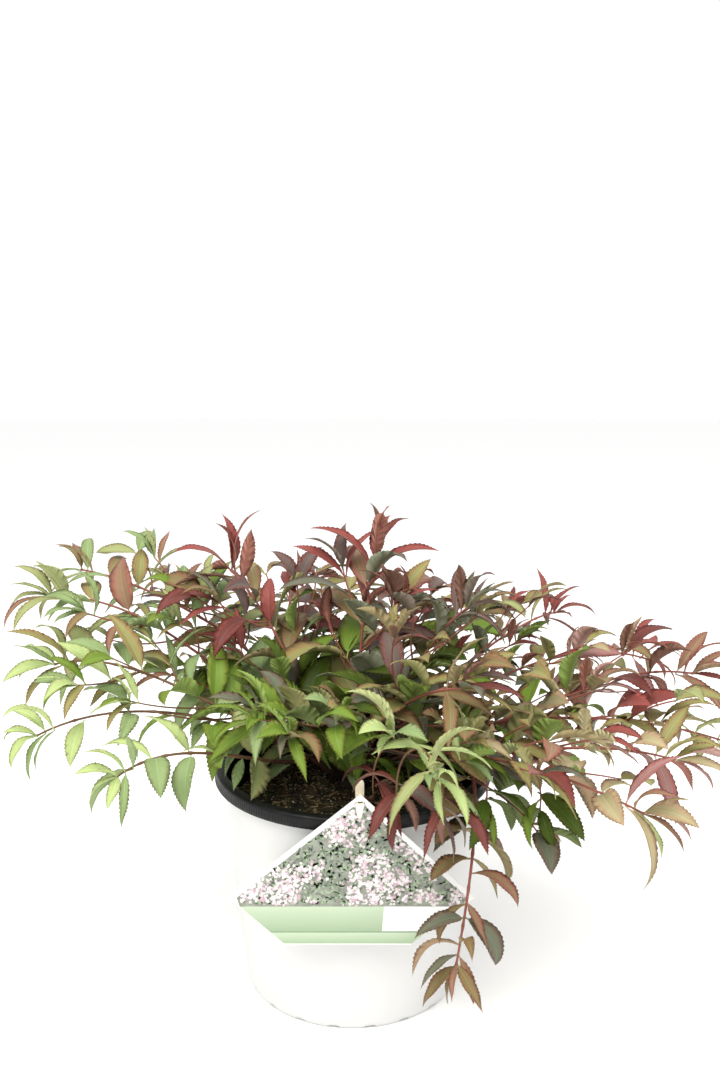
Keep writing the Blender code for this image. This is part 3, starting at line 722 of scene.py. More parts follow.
def build_soil():
    bottom = FLOOR_TOP + GAP + LINER_WALL + GAP
    edge = liner_inner(SOIL_TOP) - 0.0005

    def profile_at(angle):
        points = []
        for i in range(SOIL_RINGS + 1):
            radius = edge * (i / SOIL_RINGS) ** 0.8
            x, y = radius * math.cos(angle), radius * math.sin(angle)
            points.append((radius, soil_height(x, y)))
        low = SOIL_TOP - SOIL_SHOULDER - 0.004
        points.append((liner_inner(low) - GAP, low))
        points.append((liner_inner(bottom + 0.005) - GAP, bottom + 0.005))
        points.append((liner_inner(bottom) - 0.003, bottom))
        points.append((0.0, bottom))
        return points

    soup = Soup()
    soup.add(*lathe(SOIL_COLUMNS, profile_at))
    made, tree, bsdf = base_material("potting_soil", (0.016, 0.010, 0.006), 0.95, 0.25)
    fine = grain(tree, 1400, 5.0)
    patches = ramp(tree, grain(tree, 130, 4.0), 0.0, 1.0, 0.42, 0.62)
    earth = blend_colours(tree, patches, (0.015, 0.012, 0.006), (0.062, 0.046, 0.022))
    moss = ramp(tree, grain(tree, 60, 3.0), 0.0, 0.7, 0.55, 0.7)
    mix = shader_node(tree, "ShaderNodeMix", data_type="RGBA")
    mix.inputs[7].default_value = (0.046, 0.054, 0.018, 1.0)
    tree.links.new(earth, mix.inputs[6])
    tree.links.new(moss, mix.inputs["Factor"])
    tree.links.new(mix.outputs[2], bsdf.inputs["Base Color"])
    add_bump(tree, bsdf, fine, 0.0006)
    soup.piece("soil_bed", [made], "soil", ["soil"], weld=1e-6)

    rng = random.Random(5)
    clods = Soup()
    for _ in range(1900):
        size = rng.uniform(0.0004, 0.0014)
        clods.add(*crumb(rng, on_soil(rng), size), slots=rng.choice((0, 0, 1, 2, 3)))
    shades = [
        grained_material("clod_dark", (0.010, 0.007, 0.004), 0.9, 1500, 0.0002),
        grained_material("clod_brown", (0.075, 0.048, 0.022), 0.9, 1500, 0.0002),
        grained_material("clod_mossy", (0.062, 0.078, 0.024), 0.9, 1500, 0.0002),
        grained_material("clod_golden", (0.230, 0.165, 0.080), 0.9, 1500, 0.0002),
    ]
    clods.piece("soil_crumbs", shades, "soil")

    fibres = Soup()
    for _ in range(620):
        length = rng.uniform(0.002, 0.008)
        width = rng.uniform(0.0003, 0.0007)
        slot = rng.choice((0, 1, 1, 2))
        fibres.add(*splinter(rng, on_soil(rng) + Vector((0, 0, 0.0004)), length, width), slots=slot)
    shades = [
        grained_material("fibre_tan", (0.46, 0.33, 0.18), 0.8, 900, 0.0001),
        grained_material("fibre_brown", (0.19, 0.12, 0.056), 0.8, 900, 0.0001),
        grained_material("fibre_dark", (0.045, 0.026, 0.015), 0.8, 900, 0.0001),
    ]
    fibres.piece("soil_fibres", shades, "soil", smooth=False)

    flecks = Soup()
    for _ in range(260):
        place = on_soil(rng) + Vector((0, 0, 0.0004))
        flecks.add(*crumb(rng, place, rng.uniform(0.0003, 0.0008)), slots=rng.choice((0, 0, 1)))
    shades = [
        grained_material("fleck_pale", (0.62, 0.58, 0.48), 0.7, 900, 0.0001),
        grained_material("fleck_ochre", (0.42, 0.27, 0.09), 0.7, 900, 0.0001),
    ]
    flecks.piece("soil_flecks", shades, "soil")


def leaned(x, z):
    """Where a point of the upright card lies, as its middle line leans to the right."""
    return x + LABEL_LEAN * (z - LABEL_WAIST)


def card_half_width(height):
    """Half the card's width at a height."""
    if height >= LABEL_WAIST:
        return LABEL_HALF_WIDTH * (LABEL_APEX - height) / (LABEL_APEX - LABEL_WAIST)
    share = (height - LABEL_FOOT) / (LABEL_WAIST - LABEL_FOOT)
    return LABEL_FOOT_HALF + (LABEL_HALF_WIDTH - LABEL_FOOT_HALF) * share


def panel(outline, front, depth):
    """A thin raised panel on the card's front, from an (x, z) outline."""
    count = len(outline)
    vertices = [(leaned(x, z), y, z) for y in (front, front + depth) for x, z in outline]
    faces = [tuple(range(count)), tuple(range(2 * count - 1, count - 1, -1))]
    for k in range(count):
        n = (k + 1) % count
        faces.append((k, k + count, n + count, n))
    return vertices, faces


def blossom(rng, x, z, front, size):
    """A flat five-petalled flower: each petal is a small kite."""
    turn = rng.uniform(0, math.tau)
    x = leaned(x, z)
    vertices = [(x, front - PRINT * 0.6, z)]
    faces = []
    for k in range(5):
        a = turn + math.tau * k / 5
        r = size * rng.uniform(0.85, 1.15)
        for step, reach in ((-0.46, 0.66), (-0.20, 1.0), (0.20, 1.0), (0.46, 0.66)):
            b = a + step
            vertices.append((x + r * reach * math.cos(b), front, z + r * reach * math.sin(b)))
        base = 1 + 4 * k
        faces.append((0, base, base + 1, base + 2, base + 3))
    return vertices, faces


def sprig(rng, x, z, front, size):
    """A flat pointed leaf of the printed pattern."""
    a = rng.uniform(0, math.tau)
    x = leaned(x, z)
    along = (math.cos(a), math.sin(a))
    side = (-math.sin(a), math.cos(a))
    vertices = []
    for t, s in ((-1, 0), (0, -0.38), (1, 0), (0, 0.38)):
        vertices.append((x + size * (along[0] * t + side[0] * s), front, z + size * (along[1] * t + side[1] * s)))
    return vertices, [(0, 1, 2, 3)]


def in_picture(x, z, margin):
    return z > BAND_TOP + margin and abs(x) < card_half_width(z) - BORDER - margin


def build_label():
    front = LABEL_BACK - LABEL_THICKNESS
    half_slot = PEG_WIDTH / 2 + GAP
    rise = PEG_THICKNESS / 2 + GAP
    low, high = SLOT_HEIGHT - rise, SLOT_HEIGHT + rise
    card = Soup()
    right = [(half_slot, low), (card_half_width(low), low), (LABEL_HALF_WIDTH, LABEL_WAIST)]
    right += [(LABEL_FOOT_HALF, LABEL_FOOT)]
    left = [(-LABEL_FOOT_HALF, LABEL_FOOT), (-LABEL_HALF_WIDTH, LABEL_WAIST)]
    left += [(-card_half_width(low), low), (-half_slot, low)]
    card.add(*panel(right + left, front, LABEL_THICKNESS))
    for side in (-1, 1):
        outline = [(side * half_slot, low), (side * card_half_width(low), low)]
        outline += [(side * card_half_width(high), high), (side * half_slot, high)]
        card.add(*panel(outline if side > 0 else outline[::-1], front, LABEL_THICKNESS))
    cap = [(-card_half_width(high), high), (card_half_width(high), high), (0.0, LABEL_APEX)]
    card.add(*panel(cap, front, LABEL_THICKNESS))
    white = grained_material("card_white", (0.72, 0.72, 0.71), 0.34, 1200, 0.00001, 0.05)
    card.piece("label_sheet", [white], "label_card", ["label_card"], smooth=False)

    inset = BORDER * math.hypot(LABEL_HALF_WIDTH, LABEL_APEX - LABEL_WAIST) / (LABEL_APEX - LABEL_WAIST)
    ground = Soup()
    top = LABEL_APEX - inset * (LABEL_APEX - LABEL_WAIST) / LABEL_HALF_WIDTH
    corner = LABEL_HALF_WIDTH - inset
    picture = [(card_half_width(BAND_TOP) - 0.0003, BAND_TOP), (corner, LABEL_WAIST)]
    picture += [(half_slot + 0.0002, top - half_slot * 0.91), (half_slot + 0.0002, low - 0.0006)]
    picture += [(-half_slot - 0.0002, low - 0.0006), (-half_slot - 0.0002, top - half_slot * 0.91)]
    picture += [(-corner, LABEL_WAIST), (-card_half_width(BAND_TOP) + 0.0003, BAND_TOP)]
    ground.add(*panel(picture, front - PRINT, PRINT * 2))
    shade = grained_material(
        "print_ground", (0.160, 0.175, 0.140), 0.40, 900, 0.00001, 0.05, (0.245, 0.264, 0.215)
    )
    ground.piece("label_picture", [shade], "label_card", smooth=False)

    rng = random.Random(11)
    drawn = Soup()
    for _ in range(SPRIGS):
        z = rng.uniform(BAND_TOP, LABEL_APEX)
        x = rng.uniform(-LABEL_HALF_WIDTH, LABEL_HALF_WIDTH)
        size = rng.uniform(0.0010, 0.0022)
        if in_picture(x, z, size):
            drawn.add(*sprig(rng, x, z, front - PRINT * 1.4, size), slots=rng.choice((0, 1, 1)))
    greens = [
        grained_material("print_leaf", (0.270, 0.370, 0.215), 0.32, 900, 0.00001, 0.05),
        grained_material("print_leaf_dark", (0.105, 0.140, 0.096), 0.32, 900, 0.00001, 0.05),
    ]
    drawn.piece("label_sprigs", greens, "label_card", smooth=False)

    flowers = Soup()
    placed = []
    while len(placed) < BLOSSOMS:
        z = rng.uniform(BAND_TOP, LABEL_APEX)
        x = rng.uniform(-LABEL_HALF_WIDTH, LABEL_HALF_WIDTH)
        size = rng.uniform(0.0006, 0.0012)
        drift = noise.noise(Vector((x * 45, z * 45, 4.0)))
        placed.append((x, z))
        if not in_picture(x, z, size) or drift < -0.10:
            continue
        for _ in range(3):
            dx, dz = x + rng.gauss(0, 0.0022), z + rng.gauss(0, 0.0022)
            if in_picture(dx, dz, size):
                lift = front - PRINT * rng.uniform(1.7, 2.6)
                flowers.add(*blossom(rng, dx, dz, lift, size), slots=rng.choice((0, 0, 1, 2)))
    petals = [
        grained_material("petal_white", (0.72, 0.67, 0.67), 0.34, 900, 0.00001, 0.05),
        grained_material("petal_blush", (0.68, 0.56, 0.60), 0.34, 900, 0.00001, 0.05),
        grained_material("petal_rose", (0.52, 0.35, 0.42), 0.34, 900, 0.00001, 0.05),
    ]
    flowers.piece("label_blossoms", petals, "label_card", smooth=False)

    bands = Soup()
    for slot, (upper, lower, start) in enumerate(
        (
            (BAND_TOP, BAND_SPLIT, -1),
            (BAND_SPLIT - 0.0001, BAND_SPLIT - 0.0009, -1),
            (BAND_SPLIT - 0.0010, BAND_FOOT, -1),
            (BAND_TOP, BAND_SPLIT, 1),
        )
    ):
        edge_top, edge_low = card_half_width(upper) - 0.0003, card_half_width(lower) - 0.0003
        inner = BLOCK_LEFT if slot in (0, 3) else edge_low
        if start < 0:
            outline = [(-edge_low, lower), (inner, lower)]
            outline += [(BLOCK_LEFT if slot == 0 else edge_top, upper), (-edge_top, upper)]
        else:
            outline = [(inner, lower), (edge_low, lower), (edge_top, upper), (inner, upper)]
        bands.add(*panel(outline[::-1], front - PRINT, PRINT * 2), slots=slot)
    shades = [band_material("band_upper", BAND_SPLIT, BAND_TOP, (0.245, 0.332, 0.205), (0.400, 0.485, 0.350))]
    shades += [grained_material("band_line", (0.175, 0.265, 0.148), 0.32, 900, 0.00001, 0.05)]
    shades += [band_material("band_lower", BAND_FOOT, BAND_SPLIT, (0.262, 0.355, 0.220), (0.420, 0.510, 0.370))]
    shades += [grained_material("band_block", (0.72, 0.72, 0.72), 0.32, 900, 0.00001, 0.05)]
    bands.piece("label_bands", shades, "label_card", smooth=False)

    peg = frame["nodes"]["label_peg"].data.copy()
    peg.name = "label_stake"
    shape = bmesh.new()
    shape.from_mesh(peg)
    bmesh.ops.remove_doubles(shape, verts=shape.verts, dist=1e-6)
    bmesh.ops.dissolve_limit(shape, angle_limit=0.02, verts=shape.verts, edges=shape.edges)
    shape.to_mesh(peg)
    shape.free()
    obj = bpy.data.objects.new("label_stake", peg)
    bpy.context.scene.collection.objects.link(obj)
    bevel = obj.modifiers.new("edges", "BEVEL")
    bevel.width = 0.00025
    bevel.segments = 2
    bevel.limit_method = "ANGLE"
    peg.materials.clear()
    peg.materials.append(
        grained_material("peg_cream", (0.78, 0.70, 0.53), 0.42, 900, 0.00003, 0.06, (0.84, 0.77, 0.61))
    )
    settle(obj, ["label_peg"])


def band_material(name, low, high, dark, pale):
    """A printed band that fades from a dark foot to a pale head."""
    made, tree, bsdf = base_material(name, dark, 0.32)
    share = height_share(tree, low, high)
    tree.links.new(blend_colours(tree, share, dark, pale), bsdf.inputs["Base Color"])
    return made


def polar(azimuth, radius, height):
    angle = math.radians(azimuth)
    return Vector((radius * math.cos(angle), radius * math.sin(angle), height))


def bezier(a, b, c, d, count):
    points = []
    for i in range(count):
        t = i / (count - 1)
        s = 1 - t
        points.append(a * s**3 + b * 3 * s * s * t + c * 3 * s * t * t + d * t**3)
    return points


class Route:
    """A polyline that is read by the length along it."""

    def __init__(self, points):
        self.points = points
        self.marks = [0.0]
        for a, b in zip(points, points[1:]):
            self.marks.append(self.marks[-1] + (b - a).length)
        self.length = self.marks[-1]

    def step(self, distance):
        last = len(self.points) - 2
        for i in range(last + 1):
            if distance <= self.marks[i + 1] or i == last:
                return i

    def at(self, distance):
        i = self.step(distance)
        span = self.marks[i + 1] - self.marks[i]
        share = (distance - self.marks[i]) / span
        return self.points[i].lerp(self.points[i + 1], share)

    def along(self, distance):
        i = self.step(distance)
        return (self.points[i + 1] - self.points[i]).normalized()

    def part(self, start, end, count):
        return Route([self.at(start + (end - start) * i / (count - 1)) for i in range(count)])


def crown_start(shoot):
    """Where a stem leaves the root crown, and its first direction."""
    elevation = math.radians(72 - 34 * min(shoot.reach / 0.18, 1))
    flat = polar(shoot.azimuth, math.cos(elevation), math.sin(elevation))
    point = Vector((flat.x * CROWN_RADIUS, flat.y * CROWN_RADIUS, flat.z * CROWN_HEIGHT))
    normal = Vector(
        (
            point.x / CROWN_RADIUS**2,
            point.y / CROWN_RADIUS**2,
            point.z / CROWN_HEIGHT**2,
        )
    ).normalized()
    return CROWN + point + normal * GAP, normal


def fork_start(shoot, parent, arch):
    """Where a branch leaves its parent limb, and its first direction."""
    where = parent.route.length * LIMB_SHARE * shoot.fork
    axis = parent.route.along(where)
    centre = parent.route.at(where)
    outward = arch - centre
    outward = (outward - axis * outward.dot(axis)).normalized()
    parent_radius = parent.radius + (LIMB_TIP_RADIUS - parent.radius) * shoot.fork
    direction = (outward * 0.8 + axis * 0.6).normalized()
    lean = math.sqrt(1 - direction.dot(outward) ** 2)
    return centre + outward * (parent_radius + GAP + BRANCH_RADIUS * lean), direction


def stem_route(route, cut_at):
    """The stem of a leaf mass, which carries on from its bough with a short straight lead."""
    count = max(5, round((route.length - cut_at) / STEM_STEP))
    start, *rest = route.part(cut_at + GAP, route.length, count).points
    return Route([start, route.at(cut_at + STEM_LEAD), *rest])


Limb = namedtuple("Limb", "route radius")


def shoot_limbs():
    limbs = {}
    for shoot in SHOOTS:
        arch = polar(shoot.azimuth + shoot.swing, shoot.reach * 0.70, shoot.arch)
        tip = polar(shoot.azimuth, shoot.reach, shoot.tip)
        if shoot.parent is None:
            start, direction = crown_start(shoot)
            radius = LIMB_RADIUS
        else:
            start, direction = fork_start(shoot, limbs[shoot.parent], arch)
            radius = BRANCH_RADIUS
        lead = (tip - start).length * 0.30
        points = bezier(start, start + direction * lead, arch, tip, 40)
        limbs[shoot.name] = Limb(Route(points), radius)
    return limbs


def leaf_corners(root, along, up, length, width, thickness):
    """Root upper and lower, left, right, keel and tip of a leaf's plain blank."""
    side = up.cross(along)
    upper = root + up * thickness / 2
    lower = root - up * thickness / 2
    tip = root + along * length
    middle = upper.lerp(tip, LEAF_WAIST)
    left = middle + side * width / 2 + up * width * LEAF_FOLD
    right = middle - side * width / 2 + up * width * LEAF_FOLD
    keel = middle - up * thickness
    return [upper, lower, left, right, keel, tip]


LEAF_FACES = (
    (0, 5, 2),
    (0, 3, 5),
    (1, 2, 4),
    (4, 2, 5),
    (1, 4, 3),
    (4, 5, 3),
    (0, 2, 1),
    (0, 1, 3),
)

# share is its place along the shoot; room is the share of its width that has to be clear
Leaf = namedtuple("Leaf", "root along up length width share room", defaults=(0.5, 1.0))


class Space:
    """What already stands in the crown, as small trees of faces with their owners."""

    def __init__(self):
        self.items = []

    def add(self, owner, corners, faces):
        centre = sum(corners, Vector()) / len(corners)
        radius = max((corner - centre).length for corner in corners)
        self.items.append((owner, centre, radius, BVHTree.FromPolygons(corners, faces)))

    def add_node(self, owner, name):
        mesh = frame["nodes"][name].data
        faces = [tuple(polygon.vertices) for polygon in mesh.polygons]
        self.add(owner, [vertex.co.copy() for vertex in mesh.vertices], faces)

    def hits(self, corners, mine, own):
        """Whether a leaf's blank touches anything of others (own False) or of its own owners."""
        centre = sum(corners, Vector()) / len(corners)
        radius = max((corner - centre).length for corner in corners)
        probe = BVHTree.FromPolygons(corners, LEAF_FACES)
        for owner, middle, reach, tree in self.items:
            if (owner in mine) is not own:
                continue
            if (middle - centre).length > reach + radius:
                continue
            if probe.overlap(tree):
                return True
        return False


def leaf_fits(leaf, mine, stem, space):
    """A leaf is kept if it stays in its mass's space and clear of everything else."""
    tip = leaf.root + leaf.along * leaf.length
    if min((tip - point).length for point in stem.points) > SPACE_RADIUS:
        return False
    grown = 2 * CLEARANCE
    whole = leaf_corners(
        leaf.root,
        leaf.along,
        leaf.up,
        leaf.length + grown,
        leaf.width * leaf.room + grown,
        LEAF_THICKNESS + grown,
    )
    if space.hits(whole, mine, False):
        return False
    blade = leaf_corners(
        leaf.root + leaf.along * leaf.length * ROOT_SHARE,
        leaf.along,
        leaf.up,
        leaf.length * (1 - ROOT_SHARE) + grown,
        leaf.width * leaf.room + grown,
        LEAF_THICKNESS + grown,
    )
    return not space.hits(blade, mine, True)


def leaf_pose(rng, axis, side, turn, spread, droop):
    """Direction and face of one leaf of a pair, on a stem that runs along axis."""
    up = Vector((0, 0, 1))
    across = axis.cross(up)
    if across.length < 0.2:
        across = Vector((1, 0, 0))
    across.normalize()
    over = across.cross(axis).normalized()
    angle = math.radians(turn + rng.uniform(-14, 14))
    out = across * math.cos(angle) * side + over * math.sin(angle) * side
    lean = math.radians(spread + rng.uniform(-10, 10))
    along = axis * math.cos(lean) + out * math.sin(lean)
    along = (along - up * (droop + rng.uniform(-0.10, 0.10))).normalized()
    face = up - along * up.dot(along)
    if face.length < 0.15:
        face = axis - along * axis.dot(along)
    face.normalize()
    roll = math.radians(rng.uniform(-28, 28))
    face = (face * math.cos(roll) + along.cross(face) * math.sin(roll)).normalized()
    return along, face


def keep_leaf(leaf, mine, stem, space, kept):
    """Keeps a leaf that fits, and marks its place as taken."""
    if leaf_fits(leaf, mine, stem, space):
        kept.append(leaf)
        width = leaf.width * leaf.room
        blank = leaf_corners(leaf.root, leaf.along, leaf.up, leaf.length, width, LEAF_THICKNESS)
        space.add(mine[0], blank, LEAF_FACES)


def leaf_pairs(rng, route, first, mine, stem, space, scale, place=None, room=1.0, droop=0.08):
    """Opposite pairs along a route, each turned from the last, and a closing pair at its tip."""
    kept = []
    count = max(1, round((route.length - first) / NODE_SPACING))
    for k in range(count + 1):
        where = first + (route.length - first - 0.001) * k / count
        share = where / route.length
        at_tip = k == count
        turn = 8 if k % 2 else 44
        spread = 34 if at_tip else 62
        size = scale * (1.0 - 0.28 * share) * rng.uniform(0.86, 1.14)
        for side in (-1, 1):
            along, face = leaf_pose(rng, route.along(where), side, turn, spread, droop)
            root = route.at(where + side * 0.0004)
            length = LEAF_LENGTH * size
            width = LEAF_WIDTH * size * rng.uniform(0.85, 1.15)
            leaf = Leaf(root, along, face, length, width, share if place is None else place, room)
            keep_leaf(leaf, mine, stem, space, kept)
    return kept


def tip_spray(rng, route, mine, stem, space, scale, rings, place=1.0):
    """The slender young leaves that stand out like a star at a tip."""
    kept = []
    for behind, size, turn, spread in TIP_RINGS[:rings]:
        where = route.length - behind
        for side in (-1, 1):
            length = LEAF_LENGTH * scale * size * rng.uniform(0.85, 1.15)
            width = LEAF_WIDTH * scale * size * 0.72
            before = len(kept)
            for _ in range(4):
                along, face = leaf_pose(rng, route.along(where), side, turn, spread, 0.04)
                leaf = Leaf(route.at(where), along, face, length, width, place, SLIM)
                keep_leaf(leaf, mine, stem, space, kept)
                if len(kept) > before:
                    break
    return kept


def twig_route(rng, stem, where, side):
    """A side twig that leaves the stem in a leaf's axil and bends back towards its line."""
    axis = stem.along(where)
    along, _ = leaf_pose(rng, axis, side, rng.uniform(0, 50), 48, -0.10)
    length = TWIG_LENGTH * rng.uniform(0.75, 1.15) * (1.1 - 0.5 * where / stem.length)
    root = stem.at(where)
    bend = root + along * length * 0.5
    end = bend + (along + axis * 0.6).normalized() * length * 0.5
    return Route([root.lerp(bend, 0.0), bend, end])


def try_twig(rng, mine, stem, where, sides, space):
    """The first side on which a twig fits, or None."""
    for side in sides:
        twig = twig_route(rng, stem, where, side)
        along = (twig.points[-1] - twig.points[0]).normalized()
        face = along.orthogonal()
        probe = Leaf(twig.points[0], along, face, twig.length, 0.005)
        if leaf_fits(probe, mine, stem, space):
            corners = leaf_corners(twig.points[0], along, face, twig.length, 0.003, 0.003)
            space.add(mine[0], corners, LEAF_FACES)
            return twig
    return None


def grow_mass(shoot, seed, stem, space):
    """The twigs and leaves of one mass, by the seeded rule that its solid follows."""
    rng = random.Random(seed)
    mine = (shoot.name,)
    twigs = []
    for k in range(shoot.twigs):
        where = stem.length * (0.16 + 0.62 * k / shoot.twigs)
        twig = try_twig(rng, mine, stem, where, (1, -1) if k % 2 else (-1, 1), space)
        if twig is not None:
            twigs.append((twig, where / stem.length))
    leaves = leaf_pairs(rng, stem, FIRST_NODE, mine, stem, space, 1.0)
    for twig, share in twigs:
        leaves += leaf_pairs(rng, twig, 0.018, mine, stem, space, 0.88, share)
    return [twig for twig, _ in twigs], leaves


def hanging_route(stem, where, heading, length):
    """A twig that leaves the stem outwards and then hangs straight down."""
    flat = polar(heading, 1.0, 0.0)
    root = stem.at(where)
    bend = root + flat * length * 0.42 - Vector((0, 0, length * 0.10))
    end = bend + flat * length * 0.10 - Vector((0, 0, length * 0.62))
    return Route([root, bend, end])


def grow_finer(shoot, seed, stem, bough, twigs, space):
    """More twigs and smaller leaves between those of the solid, and leaves low on the bough."""
    rng = random.Random(1000 + seed)
    mine = (shoot.name, f"bough_{shoot.name}")
    droop = DROOPS_APART.get(shoot.name, FINER_DROOP)
    leaves = tip_spray(rng, stem, mine, stem, space, 1.0, 2 if shoot.name in LEVEL else 3)
    for twig in twigs:
        leaves += tip_spray(rng, twig, mine, stem, space, 0.85, 2)
    added = []
    for share, heading, length in HANGING.get(shoot.name, ()):
        twig = hanging_route(stem, stem.length * share, heading, length)
        added.append(twig)
        leaves += tip_spray(rng, twig, mine, stem, space, HANGING_SIZE, 3, HANGS)
    count = TWIGS_APART.get(shoot.name, FINER_TWIGS)
    places = [(stem, stem.length * (0.04 + 0.72 * k / count)) for k in range(count)]
    if count > 1:
        places += [(bough, bough.length * (0.35 + 0.60 * k / INNER_TWIGS)) for k in range(INNER_TWIGS)]
    for k, (route, where) in enumerate(places):
        twig = try_twig(rng, mine, route, where, (1, -1) if k % 2 else (-1, 1), space)
        if twig is not None:
            added.append(twig)
            share = where / stem.length if route is stem else 0.0
            leaves += leaf_pairs(rng, twig, 0.014, mine, route, space, 0.95, share, SLIM, droop)
    spare = SPARE_TIP_APART.get(shoot.name, SPARE_TIP)
    if spare:
        first = FIRST_NODE + NODE_SPACING / 2
        inner = stem.part(0, stem.length * spare, 9)
        leaves += leaf_pairs(rng, inner, first, mine, stem, space, 0.95, None, SLIM, droop)
    if shoot.name in CROWDED:
        first = FIRST_NODE + NODE_SPACING / 4
        inner = stem.part(0, stem.length * CROWDED_SHARE, 9)
        leaves += leaf_pairs(rng, inner, first, mine, stem, space, 0.95, None, CROWDED_ROOM, droop)
    for start, scale in ((0.30, 0.95), (0.45, 0.85), (0.62, 0.90), (0.80, 0.75)):
        if count > 1:
            first = bough.length * start
            leaves += leaf_pairs(rng, bough, first, mine, bough, space, scale, 0.0, SLIM, droop)
    return added, leaves


def levelled(leaf):
    """The leaf with its direction brought down to the level."""
    along = Vector((leaf.along.x, leaf.along.y, min(leaf.along.z, 0.0))).normalized()
    face = (leaf.up - along * leaf.up.dot(along)).normalized()
    return leaf._replace(along=along, up=face)


def section(name, sides):
    curve = bpy.data.curves.new(name, "CURVE")
    curve.dimensions = "2D"
    spline = curve.splines.new("POLY")
    spline.points.add(sides - 1)
    spline.use_cyclic_u = True
    for k, point in enumerate(spline.points):
        angle = math.tau * k / sides
        point.co = (math.cos(angle), math.sin(angle), 0.0, 1.0)
    obj = bpy.data.objects.new(name, curve)
    bpy.context.scene.collection.objects.link(obj)
    return obj


def guide_mesh(route, outline):
    """The three-sided stem that the solid's rule tests its leaves against."""
    curve = bpy.data.curves.new("guide", "CURVE")
    curve.dimensions = "3D"
    curve.bevel_mode = "OBJECT"
    curve.bevel_object = outline
    curve.use_fill_caps = True
    curve.twist_mode = "MINIMUM"
    spline = curve.splines.new("POLY")
    spline.points.add(len(route.points) - 1)
    for point, place, mark in zip(spline.points, route.points, route.marks):
        point.co = (*place, 1.0)
        point.radius = STEM_RADIUS + (STEM_TIP_RADIUS - STEM_RADIUS) * mark / route.length
    obj = bpy.data.objects.new("guide", curve)
    bpy.context.scene.collection.objects.link(obj)
    bpy.context.view_layer.update()
    graph = bpy.context.evaluated_depsgraph_get()
    mesh = bpy.data.meshes.new_from_object(obj.evaluated_get(graph))
    corners = [vertex.co.copy() for vertex in mesh.vertices]
    faces = [tuple(polygon.vertices) for polygon in mesh.polygons]
    bpy.data.objects.remove(obj, do_unlink=True)
    return corners, faces


def stem_tube(points, start_radius, end_radius, sides, swell_at=(), relief=0.0, seed=0):
    """A round tapering stem with swollen leaf nodes and an uneven bark."""
    count = len(points)
    marks = [0.0]
    for a, b in zip(points, points[1:]):
        marks.append(marks[-1] + (b - a).length)
    tangents = []
    for i in range(count):
        a, b = points[max(i - 1, 0)], points[min(i + 1, count - 1)]
        tangents.append((b - a).normalized())
    normal = tangents[0].orthogonal().normalized()
    vertices = []
    for i in range(count):
        normal = (normal - tangents[i] * normal.dot(tangents[i])).normalized()
        across = tangents[i].cross(normal)
        share = marks[i] / marks[-1]
        radius = start_radius + (end_radius - start_radius) * share
        for node in swell_at:
            radius += 0.32 * start_radius * math.exp(-(((marks[i] - node) / 0.0013) ** 2))
        for k in range(sides):
            a = math.tau * k / sides
            out = normal * math.cos(a) + across * math.sin(a)
            bark = relief * noise.noise(points[i] * 900 + out * 1.7 + Vector((seed, 0, 0)))
            vertices.append(points[i] + out * (radius + bark))
    faces = []
    for i in range(count - 1):
        for k in range(sides):
            n = (k + 1) % sides
            faces.append((i * sides + k, i * sides + n, (i + 1) * sides + n, (i + 1) * sides + k))
    faces.append(tuple(range(sides - 1, -1, -1)))
    faces.append(tuple((count - 1) * sides + k for k in range(sides)))
    return vertices, faces


def rounded(route, spacing):
    """A route's points at an even spacing, on a smooth curve through its own."""
    source = route.points
    if len(source) == 3:
        a, b, c = source
        control = b * 2 - (a + c) / 2
        count = max(4, round(route.length / spacing))
        points = []
        for i in range(count + 1):
            t = i / count
            points.append(a * (1 - t) ** 2 + control * 2 * t * (1 - t) + c * t * t)
        return points
    count = max(4, round(route.length / spacing))
    return route.part(0, route.length, count + 1).points


# Across one row of a leaf: side, layer and material slot of each point, over the top and back under
RING_SIDE = np.array((-1, -0.5, -0.001, 0.001, 0.5, 1, 0))
RING_LAYER = np.array((0, 1, 0, 0, 1, 0, -2))
RING_SLOTS = (1, 0, 2, 0, 1, 3, 3)
LEAF_ROWS = 2 * TEETH + 2


def leaf_topology():
    """Faces of one leaf and the material slot of each."""
    sides = len(RING_SLOTS)
    faces = []
    slots = []
    for i in range(LEAF_ROWS - 1):
        for k in range(sides):
            n = (k + 1) % sides
            faces.append((i * sides + k, (i + 1) * sides + k, (i + 1) * sides + n, i * sides + n))
            near_tip = i > 0.86 * LEAF_ROWS and RING_SLOTS[k] == 0
            slots.append(2 if i == 0 else 1 if near_tip else RING_SLOTS[k])
    tip = LEAF_ROWS * sides
    for k in range(sides):
        n = (k + 1) % sides
        faces.append(((LEAF_ROWS - 1) * sides + k, tip, (LEAF_ROWS - 1) * sides + n))
        slots.append(max(RING_SLOTS[k], 1))
    return faces, slots


def leaf_outline(blade, broad):
    """Half the width along a leaf: a rounded foot, widest below the middle, then a long point."""
    foot, point = (0.66, 1.40) if broad else (0.80, 1.85)
    peak = foot / (foot + point)
    return blade**foot * (1 - blade) ** point / (peak**foot * (1 - peak) ** point)


def leaf_arc(bend):
    """A midrib that bends more and more towards its tip, as angle, run and rise on a unit chord."""
    t = np.linspace(0, 1, ARC_STEPS + 1)
    angle = -bend * t**1.35
    run = np.concatenate(([0], np.cumsum(np.cos((angle[1:] + angle[:-1]) / 2))))
    rise = np.concatenate(([0], np.cumsum(np.sin((angle[1:] + angle[:-1]) / 2))))
    tilt = math.atan2(rise[-1], run[-1])
    span = math.hypot(rise[-1], run[-1])
    level_run = (run * math.cos(tilt) + rise * math.sin(tilt)) / span
    level_rise = (rise * math.cos(tilt) - run * math.sin(tilt)) / span
    return t, angle - tilt, level_run, level_rise


